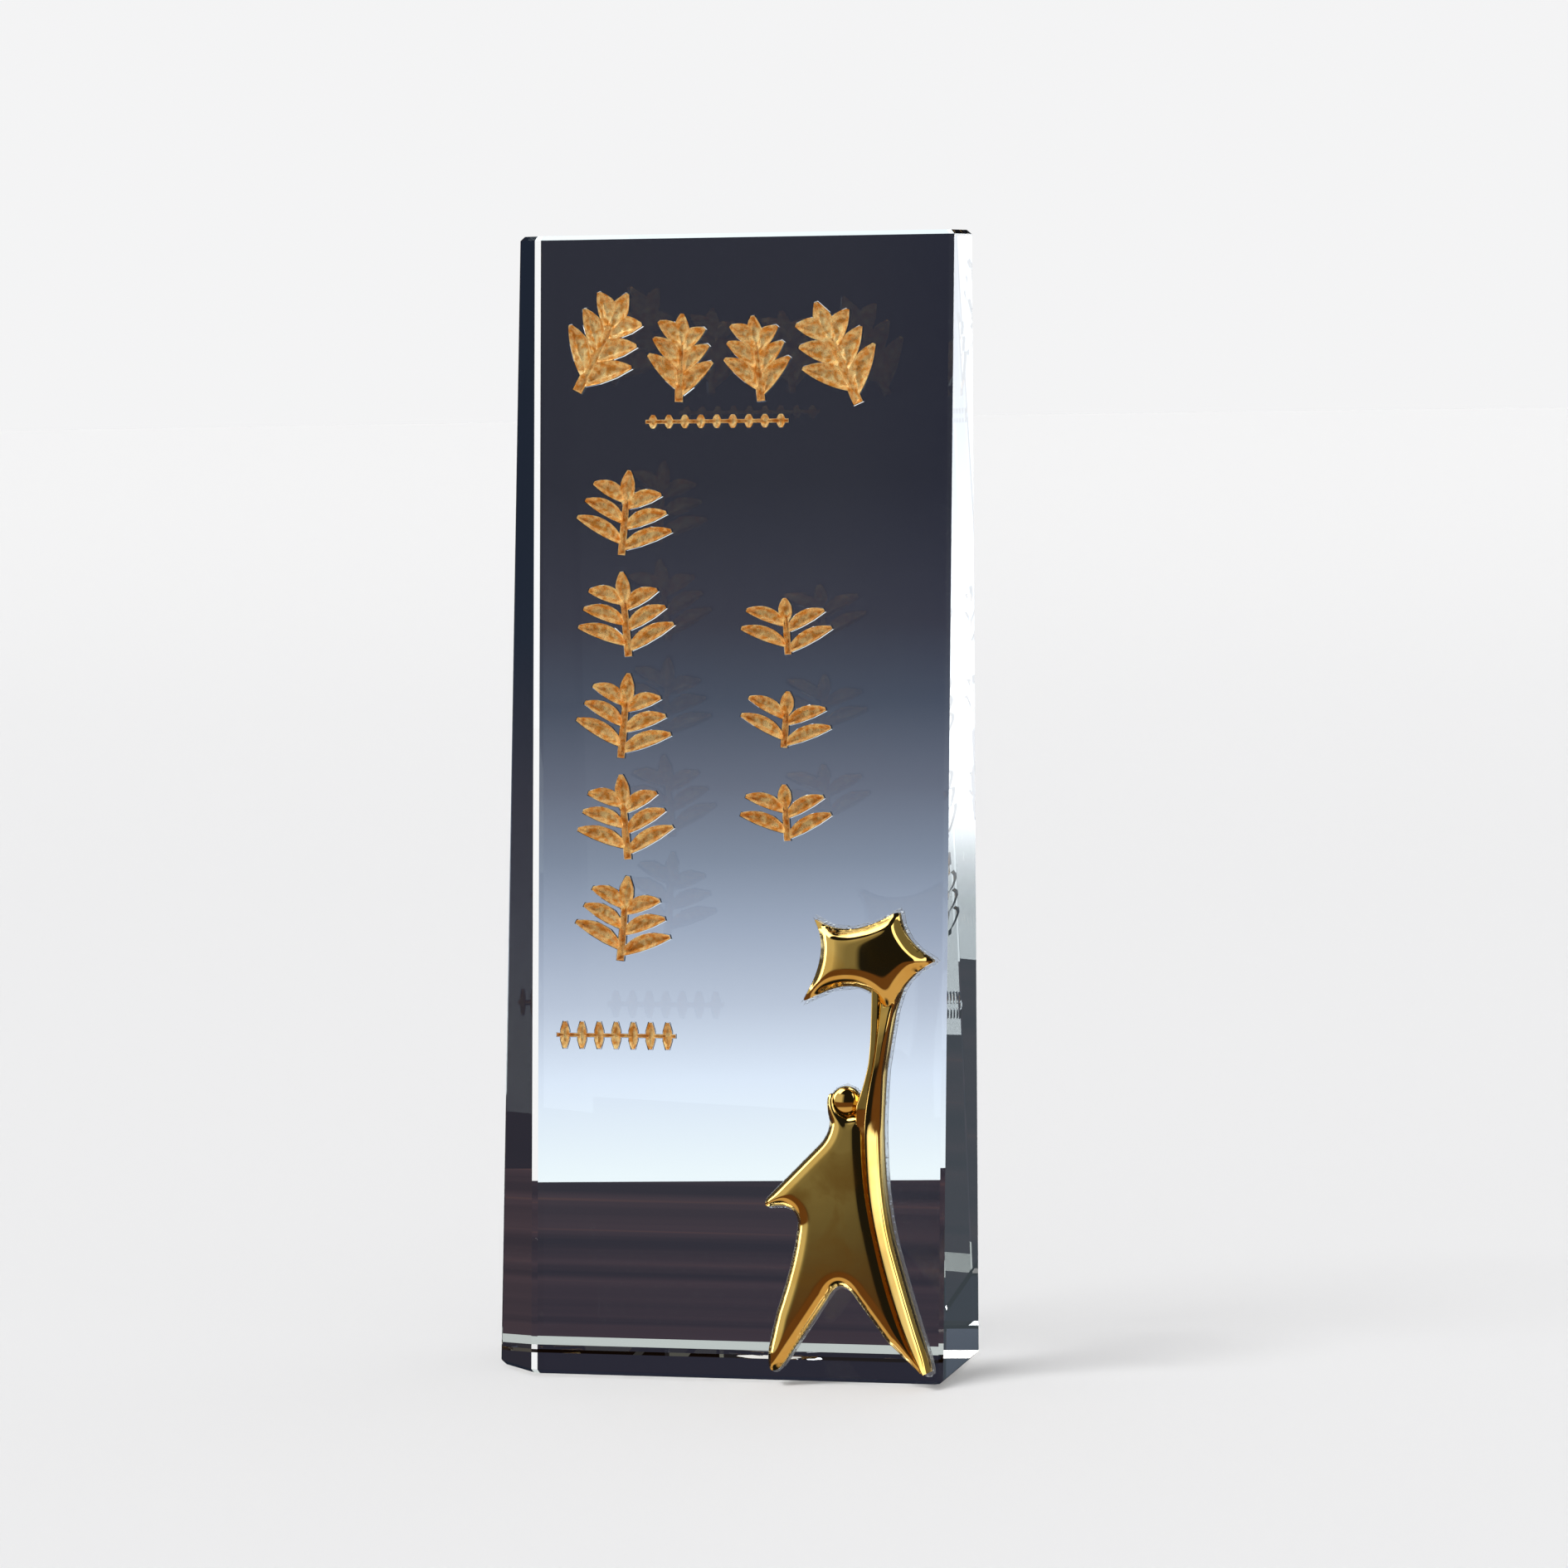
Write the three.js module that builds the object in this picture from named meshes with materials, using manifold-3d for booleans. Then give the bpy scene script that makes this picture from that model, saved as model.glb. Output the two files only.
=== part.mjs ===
// Star trophy: a leaning clear crystal block with engraved, gold-lacquered leaf marks on its
// front face, and a cast abstract figure raising a five-pointed star glued to that face.
// Millimetres. +Z up, the front looks along -Y, +X is to the viewer's right.
import * as THREE from 'three';
import { ConvexGeometry } from 'three/addons/geometries/ConvexGeometry.js';
import { mergeVertices } from 'three/addons/utils/BufferGeometryUtils.js';
import Module from 'manifold-3d';

// Crystal block. The front face leans back, and its left edge is cut off by a tapering facet.
const BLOCK_HEIGHT = 220;
const FRONT_WIDTH_BASE = 81.2;
const FRONT_WIDTH_TOP = 82.6;
const BLOCK_DEPTH = 34.5;
const FRONT_SETBACK = 17;
const FACET_BASE = 9.5;
const FACET_TOP = 5;
const EDGE_CHAMFER = 0.8;

// Engraved marks and the lacquer in them.
const ENGRAVING_DEPTH = 1.4;
const FINE_ENGRAVING_DEPTH = 0.8;
const LACQUER_CLEARANCE = 0.2;
const LACQUER_RECESS = 0.25;
const CUT_OVERRUN = 1;
const MARK_CURVE_SEGMENTS = 3;
const FIGURE_CURVE_SEGMENTS = 4;

// Places of the marks on the face: x from its left edge, heights from its foot or, as a drop,
// down from its top edge. The columns of sprigs fill the room between caption and date.
const EMBLEM_SHIFT = -5.2;
const EMBLEM_DROP = 21.86;
const CAPTION_DROP = 36.16;
const CAPTION_LENGTH = 28.6;
const CAPTION_HEIGHT = 2.8;
const CAPTION_LOZENGES = 9;
const LEFT_COLUMN_X = 17.9;
const LEFT_COLUMN_DROP = 53.66;
const LEFT_COLUMN_FOOT = 88.6;
const LEFT_SPRIGS = 5;
const LEFT_SPRIG_WIDTH = 19.2;
const LEFT_ROW_FILL = 0.847;
const RIGHT_COLUMN_X = 50;
const RIGHT_COLUMN_FOOT = 109.2;
const RIGHT_SPRIGS = 3;
const RIGHT_SPRIG_WIDTH = 18;
const RIGHT_PITCH_SHARE = 0.9133;
const RIGHT_ROW_FILL = 0.6145;
const DATE_CENTRE = [16.4, 65.9];
const DATE_LENGTH = 24;
const DATE_HEIGHT = 5.4;
const DATE_LOZENGES = 7;

// Leaf and stem widths of the sprigs.
const LEFT_LEAF_WIDTH = 3.2;
const LEFT_LEAF_PAIRS = 3;
const LEFT_SPRIG_TILT = 0.09;
const RIGHT_LEAF_WIDTH = 2.9;
const RIGHT_LEAF_PAIRS = 2;
const RIGHT_SPRIG_TILT = 0.07;
const STEM_SHARE = 0.5;
const LEAF_POINT = 0.9;
const LEAF_BOW = 0.2;
const LEAF_SHRINK = 0.14;
const TIP_LEAF_SHARE = 0.42;
const FIRST_PAIR_SHARE = 0.12;
const PAIR_SPAN_SHARE = 0.72;
const PAIR_STAGGER = 0.14;
const LEAF_ROOT_SHARE = 0.8;
const SPRIG_RISE = 0.22;
const EMBLEM_SPREAD = 0.78;
const RULE_WIDTH = 0.9;
const LOZENGE_SHARE = 0.62;

// Cast figure and the adhesive under it.
const FIGURE_HEIGHT = 88.9;
const FIGURE_RIGHT_MARGIN = 1;
const FIGURE_BOTTOM = 1.8;
const ADHESIVE_THICKNESS = 0.3;
const SEAT_GAP = 0.25;
const ADHESIVE_MARGIN = 0.5;
const BODY_RELIEF = 3.4;
const RIBBON_RELIEF = 3.0;
const CREST_RELIEF = 4.6;
const STAR_RELIEF = 3.0;
const STAR_CROWN_RELIEF = 4.6;
const STAR_CROWN_SHARE = 0.62;
const HEAD_RELIEF = 4.4;

// Worked out from the sizes above.
const FACE_LENGTH = Math.hypot(BLOCK_HEIGHT, FRONT_SETBACK);
const MARK_CENTRE_X = FRONT_WIDTH_TOP / 2 + EMBLEM_SHIFT;
const EMBLEM_CENTRE = [MARK_CENTRE_X, FACE_LENGTH - EMBLEM_DROP];
const CAPTION_CENTRE = [MARK_CENTRE_X, FACE_LENGTH - CAPTION_DROP];
const LEFT_PITCH = (FACE_LENGTH - LEFT_COLUMN_DROP - LEFT_COLUMN_FOOT) / (LEFT_SPRIGS - 1);
const RIGHT_PITCH = LEFT_PITCH * RIGHT_PITCH_SHARE;

const wasm = await Module();
wasm.setup();

const CRYSTAL = new THREE.MeshStandardMaterial({
  color: 0xe8f1f6, roughness: 0.02, metalness: 0, transparent: true, opacity: 0.35,
});
const GOLD = new THREE.MeshStandardMaterial({ color: 0xc9a24a, roughness: 0.12, metalness: 1 });
const LACQUER = new THREE.MeshStandardMaterial({ color: 0xe1a046, roughness: 0.4, metalness: 0.3 });
const ADHESIVE = new THREE.MeshStandardMaterial({
  color: 0xe4ecf2, roughness: 0.15, metalness: 0, transparent: true, opacity: 0.5,
});

/** A closed geometry as a solid that can be joined and cut. */
function toSolid(geometry) {
  const bare = geometry.clone();
  bare.deleteAttribute('normal');
  bare.deleteAttribute('uv');
  const merged = mergeVertices(bare, 1e-4);
  return new wasm.Manifold(new wasm.Mesh({
    numProp: 3,
    vertProperties: new Float32Array(merged.attributes.position.array),
    triVerts: new Uint32Array(merged.index.array),
  }));
}

/** A solid's surface as a geometry. */
function toGeometry(solid) {
  const surface = solid.getMesh();
  const geometry = new THREE.BufferGeometry();
  geometry.setAttribute('position', new THREE.BufferAttribute(surface.vertProperties, 3));
  geometry.setIndex(new THREE.BufferAttribute(surface.triVerts, 1));
  geometry.computeVertexNormals();
  return geometry;
}

/** Several closed geometries joined into one solid. */
function joined(geometries) {
  return geometries.map(toSolid).reduce((whole, next) => whole.add(next));
}

function meshOf(name, geometry, material) {
  const mesh = new THREE.Mesh(geometry, material);
  mesh.name = name;
  return mesh;
}

// ---------------------------------------------------------------- crystal block

/** The block's outline at one height, moved in by inset and with its corners cut off. */
function blockRing(share, z, inset) {
  const front = FRONT_WIDTH_BASE + (FRONT_WIDTH_TOP - FRONT_WIDTH_BASE) * share;
  const facet = FACET_BASE + (FACET_TOP - FACET_BASE) * share;
  const y = FRONT_SETBACK * share;
  const corners = [
    [0, y], [front, y], [front, BLOCK_DEPTH], [-facet, BLOCK_DEPTH], [-facet, y + facet],
  ].map(([px, py]) => new THREE.Vector2(px, py));
  return corners.flatMap((corner, i) => {
    const arriving = corner.clone().sub(corners[(i + 4) % 5]).normalize();
    const leaving = corners[(i + 1) % 5].clone().sub(corner).normalize();
    const inward = leaving.clone().sub(arriving).divideScalar(arriving.cross(leaving));
    const inner = corner.clone().addScaledVector(inward, inset);
    return [
      inner.clone().addScaledVector(arriving, -EDGE_CHAMFER),
      inner.clone().addScaledVector(leaving, EDGE_CHAMFER),
    ].map((point) => new THREE.Vector3(point.x, point.y, z));
  });
}

function crystalBlank() {
  const chamferShare = EDGE_CHAMFER / BLOCK_HEIGHT;
  return new ConvexGeometry([
    ...blockRing(0, 0, EDGE_CHAMFER),
    ...blockRing(chamferShare, EDGE_CHAMFER, 0),
    ...blockRing(1 - chamferShare, BLOCK_HEIGHT - EDGE_CHAMFER, 0),
    ...blockRing(1, BLOCK_HEIGHT, EDGE_CHAMFER),
  ]);
}

// ---------------------------------------------------------------- engraved marks

/** One leaf or stem: from one end to the other, with its end widths, belly and sideways bow. */
function stroke(from, to, { start = 0.9, belly = 3, end = 0.9, bow = 0 } = {}) {
  return { from: new THREE.Vector2(...from), to: new THREE.Vector2(...to), start, belly, end, bow };
}

/** A stroke's outline, made smaller by inset on every side. */
function strokeShape({ from, to, start, belly, end, bow }, inset) {
  const along = to.clone().sub(from).normalize();
  const side = new THREE.Vector2(-along.y, along.x);
  const tail = from.clone().addScaledVector(along, inset);
  const head = to.clone().addScaledVector(along, -inset);
  const middle = tail.clone().add(head).multiplyScalar(0.5);
  const at = (point, offset) => point.clone().addScaledVector(side, offset);
  const tailHalf = start / 2 - inset;
  const headHalf = end / 2 - inset;
  const bellyHalf = belly - (start + end) / 4 - inset;
  const left = at(middle, 2 * bow + bellyHalf);
  const right = at(middle, 2 * bow - bellyHalf);
  const [a, b, c, d] = [at(tail, -tailHalf), at(head, -headHalf), at(head, headHalf), at(tail, tailHalf)];
  const shape = new THREE.Shape();
  shape.moveTo(a.x, a.y);
  shape.quadraticCurveTo(right.x, right.y, b.x, b.y);
  shape.lineTo(c.x, c.y);
  shape.quadraticCurveTo(left.x, left.y, d.x, d.y);
  shape.closePath();
  return shape;
}

/** A straight stem from root to tip, with pairs of leaves along it and one leaf at its tip. */
function branch({ root, tip, pairs, length, width, spread }) {
  const from = new THREE.Vector2(...root);
  const to = new THREE.Vector2(...tip);
  const along = to.clone().sub(from);
  const reach = along.length();
  along.normalize();
  const stem = width * STEM_SHARE;
  const crown = from.clone().addScaledVector(along, reach * (1 - TIP_LEAF_SHARE));
  const marks = [
    stroke(root, crown.clone().addScaledVector(along, stem).toArray(),
      { start: stem, belly: stem, end: stem * LEAF_ROOT_SHARE }),
    stroke(crown.toArray(), tip, { start: stem, belly: width, end: LEAF_POINT }),
  ];
  for (let i = 0; i < pairs; i++) {
    const leaf = length * (1 - LEAF_SHRINK * i);
    for (const hand of [-1, 1]) {
      const share = FIRST_PAIR_SHARE + (i + hand * PAIR_STAGGER) * PAIR_SPAN_SHARE / pairs;
      const place = from.clone().addScaledVector(along, reach * share);
      const end = along.clone().rotateAround(new THREE.Vector2(), hand * spread);
      end.multiplyScalar(leaf).add(place);
      marks.push(stroke(place.toArray(), end.toArray(), {
        start: stem * LEAF_ROOT_SHARE, belly: width, end: LEAF_POINT, bow: -hand * width * LEAF_BOW,
      }));
    }
  }
  return marks;
}

/** An upright sprig that fills width by height about its middle, leaning by tilt. */
function sprig({ width, height, pairs, leaf, tilt, middle }) {
  const half = new THREE.Vector2(0, height / 2).rotateAround(new THREE.Vector2(), tilt);
  const centre = new THREE.Vector2(...middle);
  const rise = width * SPRIG_RISE;
  return branch({
    root: centre.clone().sub(half).toArray(),
    tip: centre.clone().add(half).toArray(),
    pairs,
    length: Math.hypot(width / 2, rise),
    width: leaf,
    spread: Math.atan2(width / 2, rise),
  });
}

/** A thin rule carrying a row of upright lozenges. */
function lozengeRow({ middle, length, height, count }) {
  const [x, y] = middle;
  const marks = [stroke([x - length / 2, y], [x + length / 2, y],
    { start: RULE_WIDTH, belly: RULE_WIDTH, end: RULE_WIDTH })];
  const pitch = length / count;
  for (let i = 0; i < count; i++) {
    const at = x - length / 2 + (i + 0.5) * pitch;
    marks.push(stroke([at, y - height / 2], [at, y + height / 2],
      { start: LEAF_POINT, belly: pitch * LOZENGE_SHARE, end: LEAF_POINT }));
  }
  return marks;
}

/** The emblem: four leafy branches in a crest, the outer two larger and leaning inwards. */
const EMBLEM_BRANCHES = {
  emblem_left_outer_infill: { root: [-28.0, -8.4], tip: [-17.8, 10.6], pairs: 3, length: 10.6, width: 4.2 },
  emblem_left_inner_infill: { root: [-7.6, -10.6], tip: [-7.0, 6.6], pairs: 3, length: 9.2, width: 3.5 },
  emblem_right_inner_infill: { root: [8.8, -10.6], tip: [7.0, 6.0], pairs: 3, length: 9.2, width: 3.5 },
  emblem_right_outer_infill: { root: [28.0, -11.2], tip: [19.4, 8.4], pairs: 3, length: 10.6, width: 4.2 },
};

function emblemStrokes(form) {
  const about = ([x, y]) => [EMBLEM_CENTRE[0] + x, EMBLEM_CENTRE[1] + y];
  return branch({ ...form, root: about(form.root), tip: about(form.tip), spread: EMBLEM_SPREAD });
}

/** Every mark's strokes and engraving depth, by the name of its lacquer. */
function allMarks() {
  const marks = [];
  for (const [name, form] of Object.entries(EMBLEM_BRANCHES)) {
    marks.push({ name, strokes: emblemStrokes(form), depth: ENGRAVING_DEPTH });
  }
  marks.push({
    name: 'caption_row_infill',
    depth: FINE_ENGRAVING_DEPTH,
    strokes: lozengeRow({
      middle: CAPTION_CENTRE, length: CAPTION_LENGTH, height: CAPTION_HEIGHT, count: CAPTION_LOZENGES,
    }),
  });
  for (let i = 0; i < LEFT_SPRIGS; i++) {
    marks.push({
      name: `left_sprig_${i + 1}_infill`,
      depth: ENGRAVING_DEPTH,
      strokes: sprig({
        width: LEFT_SPRIG_WIDTH, height: LEFT_PITCH * LEFT_ROW_FILL, leaf: LEFT_LEAF_WIDTH,
        pairs: LEFT_LEAF_PAIRS, tilt: LEFT_SPRIG_TILT * (i % 2 ? 1 : -1),
        middle: [LEFT_COLUMN_X, LEFT_COLUMN_FOOT + (LEFT_SPRIGS - 1 - i) * LEFT_PITCH],
      }),
    });
  }
  for (let i = 0; i < RIGHT_SPRIGS; i++) {
    marks.push({
      name: `right_sprig_${i + 1}_infill`,
      depth: ENGRAVING_DEPTH,
      strokes: sprig({
        width: RIGHT_SPRIG_WIDTH, height: RIGHT_PITCH * RIGHT_ROW_FILL, leaf: RIGHT_LEAF_WIDTH,
        pairs: RIGHT_LEAF_PAIRS, tilt: RIGHT_SPRIG_TILT * (i % 2 ? -1 : 1),
        middle: [RIGHT_COLUMN_X, RIGHT_COLUMN_FOOT + (RIGHT_SPRIGS - 1 - i) * RIGHT_PITCH],
      }),
    });
  }
  marks.push({
    name: 'date_row_infill',
    depth: FINE_ENGRAVING_DEPTH,
    strokes: lozengeRow({
      middle: DATE_CENTRE, length: DATE_LENGTH, height: DATE_HEIGHT, count: DATE_LOZENGES,
    }),
  });
  return marks;
}

/** A plate of one outline between two heights over the face. */
function plate(shape, low, high, curveSegments) {
  const geometry = new THREE.ExtrudeGeometry(shape, {
    depth: high - low, bevelEnabled: false, curveSegments,
  });
  return geometry.translate(0, 0, low);
}

function lacquer({ strokes, depth }) {
  const floor = -depth + LACQUER_CLEARANCE;
  return joined(strokes.map((s) => plate(
    strokeShape(s, LACQUER_CLEARANCE), floor, -LACQUER_RECESS, MARK_CURVE_SEGMENTS,
  )));
}

function cavity({ strokes, depth }) {
  return joined(strokes.map((s) => plate(strokeShape(s, 0), -depth, CUT_OVERRUN, MARK_CURVE_SEGMENTS)));
}

// ---------------------------------------------------------------- cast figure

/** A closed outline of straight runs and quadratic curves, drawn from the figure's lower left. */
function outline(points) {
  const shape = new THREE.Shape();
  shape.moveTo(...points[0]);
  for (const point of points.slice(1)) {
    if (point.length === 2) shape.lineTo(...point);
    else shape.quadraticCurveTo(...point);
  }
  shape.closePath();
  return shape;
}

// The outlines are drawn for a figure of this size, with (0, 0) at its left hand and toes.
const DRAWN_HEIGHT = 88.9;
const DRAWN_WIDTH = 33.6;

// Straight runs are [x, y]; curved runs are [control x, control y, x, y].
const BODY_OUTLINE = [
  [20.4, 50.0], [20.2, 36.5, 22.9, 26.3], [24.8, 17.6, 27.3, 10.9], [30.9, 0.5],
  [24.6, 6.3], [18.4, 14.4], [15.0, 19.6, 12.2, 14.2], [5.0, 3.4], [3.2, 0.6, 2.2, 0.4],
  [0.6, 0.2, 1.1, 4.7], [2.7, 11.7], [6.4, 22.5, 6.8, 29.0], [6.2, 32.9, 1.2, 31.9],
  [-0.3, 31.8, 0.6, 33.4], [11.0, 43.9], [12.9, 45.9, 13.0, 48.4], [12.2, 51.2, 12.5, 52.6],
  [14.1, 52.0], [14.8, 50.2, 16.5, 49.7], [18.2, 50.6],
];
const RIBBON_OUTLINE = [
  [21.2, 76.0], [21.2, 64.0, 20.6, 59.5], [19.8, 54.9, 18.7, 51.6], [19.6, 49.6, 20.0, 48.0],
  [19.9, 36.5, 22.4, 26.3], [24.3, 17.6, 26.8, 10.9], [28.9, 5.2, 31.5, 0.4],
  [33.0, 0.0, 32.9, 1.0], [32.8, 2.6, 31.2, 7.2], [28.6, 15.0, 25.8, 25.0],
  [23.6, 33.8, 23.4, 46.0], [23.3, 50.0, 23.9, 58.4], [24.9, 65.1, 25.7, 69.6],
  [26.5, 72.6, 28.2, 76.6],
];
const CREST_OUTLINE = [
  [22.9, 74.0], [22.6, 66.0, 21.9, 59.0], [20.6, 52.5, 20.4, 48.0], [20.3, 36.5, 22.8, 26.3],
  [24.7, 17.6, 27.2, 10.9], [29.2, 5.4, 31.0, 2.4], [31.6, 2.6], [29.0, 9.0, 27.6, 13.0],
  [24.6, 22.0, 23.6, 28.0], [21.9, 38.0, 22.0, 46.0], [22.4, 54.0, 23.4, 60.0],
  [24.2, 66.0, 24.6, 74.0],
];
const STAR_TIPS = [[9.6, 87.4], [26.4, 88.9], [33.6, 79.3], [24.6, 68.2], [7.2, 70.9]];
const STAR_BENDS = [[16.0, 82.4], [26.7, 82.7], [26.9, 76.6], [20.9, 79.0], [13.9, 80.8]];
const STAR_CENTRE = [20.6, 79.6];
const HEAD_CENTRE = [15.9, 52.2];
const HEAD_RADIUS = 2.95;

// The figure's size against its drawing, and its left hand's place on the face.
const FIGURE_SCALE = FIGURE_HEIGHT / DRAWN_HEIGHT;
const FIGURE_LEFT = FRONT_WIDTH_BASE - FIGURE_RIGHT_MARGIN - DRAWN_WIDTH * FIGURE_SCALE;

function starShape(share = 1) {
  const draw = ([x, y]) => [
    STAR_CENTRE[0] + (x - STAR_CENTRE[0]) * share,
    STAR_CENTRE[1] + (y - STAR_CENTRE[1]) * share,
  ];
  const points = [draw(STAR_TIPS[0])];
  STAR_BENDS.forEach((bend, i) => {
    const tip = STAR_TIPS[(i + 1) % STAR_TIPS.length];
    points.push([...draw(bend), ...draw(tip)]);
  });
  return outline(points);
}

function headShape() {
  const shape = new THREE.Shape();
  shape.absarc(...HEAD_CENTRE, HEAD_RADIUS, 0, 2 * Math.PI, false);
  return shape;
}

/** The figure's plates, from the adhesive's surface up, at the figure's size and place. */
function figureCasting() {
  const seat = 2 * SEAT_GAP + ADHESIVE_THICKNESS;
  const plates = [
    [outline(BODY_OUTLINE), BODY_RELIEF],
    [outline(RIBBON_OUTLINE), RIBBON_RELIEF],
    [outline(CREST_OUTLINE), CREST_RELIEF],
    [starShape(), STAR_RELIEF],
    [starShape(STAR_CROWN_SHARE), STAR_CROWN_RELIEF],
    [headShape(), HEAD_RELIEF],
  ];
  return joined(plates.map(([shape, relief]) => plate(shape, 0, relief, FIGURE_CURVE_SEGMENTS)
    .scale(FIGURE_SCALE, FIGURE_SCALE, 1)
    .translate(FIGURE_LEFT, FIGURE_BOTTOM, seat)));
}

/** The film of clear adhesive: the casting's footprint spread a little past its edge. */
function adhesiveFilm() {
  const sides = [[1, 0], [0, 1], [-1, 0], [0, -1]];
  const shifts = sides.map(([x, y]) => [x * ADHESIVE_MARGIN, y * ADHESIVE_MARGIN]);
  const footprint = [outline(BODY_OUTLINE), outline(RIBBON_OUTLINE), starShape(), headShape()];
  return joined(footprint.flatMap((shape) => shifts.map(([dx, dy]) => (
    plate(shape, 0, ADHESIVE_THICKNESS, FIGURE_CURVE_SEGMENTS)
      .scale(FIGURE_SCALE, FIGURE_SCALE, 1)
      .translate(FIGURE_LEFT + dx, FIGURE_BOTTOM + dy, SEAT_GAP)))));
}

// ---------------------------------------------------------------- assembly

const face = new THREE.Group();
face.rotation.x = Math.PI / 2 - Math.atan2(FRONT_SETBACK, BLOCK_HEIGHT);
face.updateMatrixWorld();

const marks = allMarks();
let crystal = toSolid(crystalBlank());
for (const mark of marks) {
  crystal = crystal.subtract(toSolid(toGeometry(cavity(mark)).applyMatrix4(face.matrixWorld)));
  face.add(meshOf(mark.name, toGeometry(lacquer(mark)), LACQUER));
}
face.add(meshOf('adhesive_film', toGeometry(adhesiveFilm()), ADHESIVE));
face.add(meshOf('figure_casting', toGeometry(figureCasting()), GOLD));

const trophy = new THREE.Group();
trophy.add(meshOf('crystal_block', toGeometry(crystal), CRYSTAL), face);

// The origin is under the middle of the whole trophy, on the surface that it stands on.
const extent = new THREE.Box3().setFromObject(trophy);
trophy.position.set(
  -(extent.min.x + extent.max.x) / 2, -(extent.min.y + extent.max.y) / 2, -extent.min.z,
);

export default trophy;
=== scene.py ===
"""Star trophy: a leaning crystal block with gold-lacquered engraving and a gilt figure raising a star."""

import enum
import logging
import math
from collections.abc import Callable
from dataclasses import dataclass

import bmesh
import bpy
import numpy as np
from mathutils import Matrix, Vector


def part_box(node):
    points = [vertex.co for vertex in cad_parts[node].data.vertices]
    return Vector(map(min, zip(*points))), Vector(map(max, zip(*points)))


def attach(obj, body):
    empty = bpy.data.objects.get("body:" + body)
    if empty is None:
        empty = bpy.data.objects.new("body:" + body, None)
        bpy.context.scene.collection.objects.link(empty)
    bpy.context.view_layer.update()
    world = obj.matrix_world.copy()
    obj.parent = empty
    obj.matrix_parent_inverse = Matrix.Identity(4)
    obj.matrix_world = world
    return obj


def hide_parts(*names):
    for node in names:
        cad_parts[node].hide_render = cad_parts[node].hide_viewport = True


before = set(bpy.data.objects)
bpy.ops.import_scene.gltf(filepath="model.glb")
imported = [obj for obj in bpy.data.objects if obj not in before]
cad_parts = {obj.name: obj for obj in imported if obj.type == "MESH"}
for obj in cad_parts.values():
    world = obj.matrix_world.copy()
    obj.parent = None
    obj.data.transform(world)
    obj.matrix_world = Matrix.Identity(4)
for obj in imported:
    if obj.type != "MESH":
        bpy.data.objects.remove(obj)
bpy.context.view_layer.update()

LOG = logging.getLogger("star_trophy")
MM = 0.001
MIX_FIRST, MIX_SECOND, MIX_RESULT = 6, 7, 2  # the Mix node's colour sockets

Point = tuple[float, float]
Span = tuple[float, float]
Colour = tuple[float, float, float]
Tree = bpy.types.NodeTree
Socket = bpy.types.NodeSocket
Shape = bmesh.types.BMesh


class Slot(enum.Enum):
    """The record's material slots for the gilt metal and the gold lacquer; nothing here uses them."""

    GILT = "gilt_metal"
    LACQUER = "gold_lacquer"


# ---------------------------------------------------------------- frame


@dataclass(frozen=True)
class FrontFace:
    """The block's leaning front face, as a drawing plane: x right, y up the face, z out of it, in mm.

    Attributes:
        depth: Block depth at the base.
        setback: How far the face's top lies behind its foot.
        width_top: Face width at the top.
    """

    depth: float = 34.5
    setback: float = 17.0
    width_top: float = 82.6

    @property
    def height(self) -> float:
        """The block's height, from the frame."""
        low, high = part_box("crystal_block")
        return (high.z - low.z) / MM

    def matrix(self) -> Matrix:
        """Works out where the drawing plane lies.

        Returns:
            The transform from the drawing plane, in mm, to the row frame, in metres.
        """
        low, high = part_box("crystal_block")
        corner = Vector((high.x - self.width_top * MM, high.y - self.depth * MM, low.z))
        turn = math.pi / 2 - math.atan2(self.setback, self.height)
        return Matrix.Translation(corner) @ Matrix.Rotation(turn, 4, "X") @ Matrix.Scale(MM, 4)


# ---------------------------------------------------------------- node groups


def socket(group: Tree, name: str, kind: str, default: float | None = None,
           out: bool = False) -> None:
    """Adds one named socket to a node group.

    Args:
        group: The group's tree.
        name: The socket's name.
        kind: Float, Vector or Color.
        default: Default value of a float input.
        out: True for an output.
    """
    made = group.interface.new_socket(
        name=name, in_out="OUTPUT" if out else "INPUT", socket_type=f"NodeSocket{kind}"
    )
    if default is not None:
        made.default_value = default


def node(tree: Tree, kind: str, **settings: object) -> bpy.types.Node:
    """Adds a node and sets its properties.

    Args:
        tree: The tree that gets the node.
        kind: The node's type, without "ShaderNode".
        **settings: Properties to set.

    Returns:
        The new node.
    """
    made = tree.nodes.new(kind if kind.startswith("Node") else f"ShaderNode{kind}")
    for key, value in settings.items():
        setattr(made, key, value)
    return made


def link(tree: Tree, source: Socket, target: Socket) -> None:
    """Links one socket to another."""
    tree.links.new(source, target)


def mix(tree: Tree, factor: object, first: object, second: object) -> Socket:
    """Mixes two colours.

    Args:
        tree: The tree that gets the node.
        factor: A socket or a number.
        first: A socket or a colour.
        second: A socket or a colour.

    Returns:
        The mixed colour's socket.
    """
    made = node(tree, "Mix", data_type="RGBA")
    for key, value in (("Factor", factor), (MIX_FIRST, first), (MIX_SECOND, second)):
        target = made.inputs[key]
        if isinstance(value, Socket):
            link(tree, value, target)
        elif isinstance(value, (int, float)):
            target.default_value = value
        else:
            target.default_value = (*value, 1.0)
    return made.outputs[MIX_RESULT]


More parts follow.
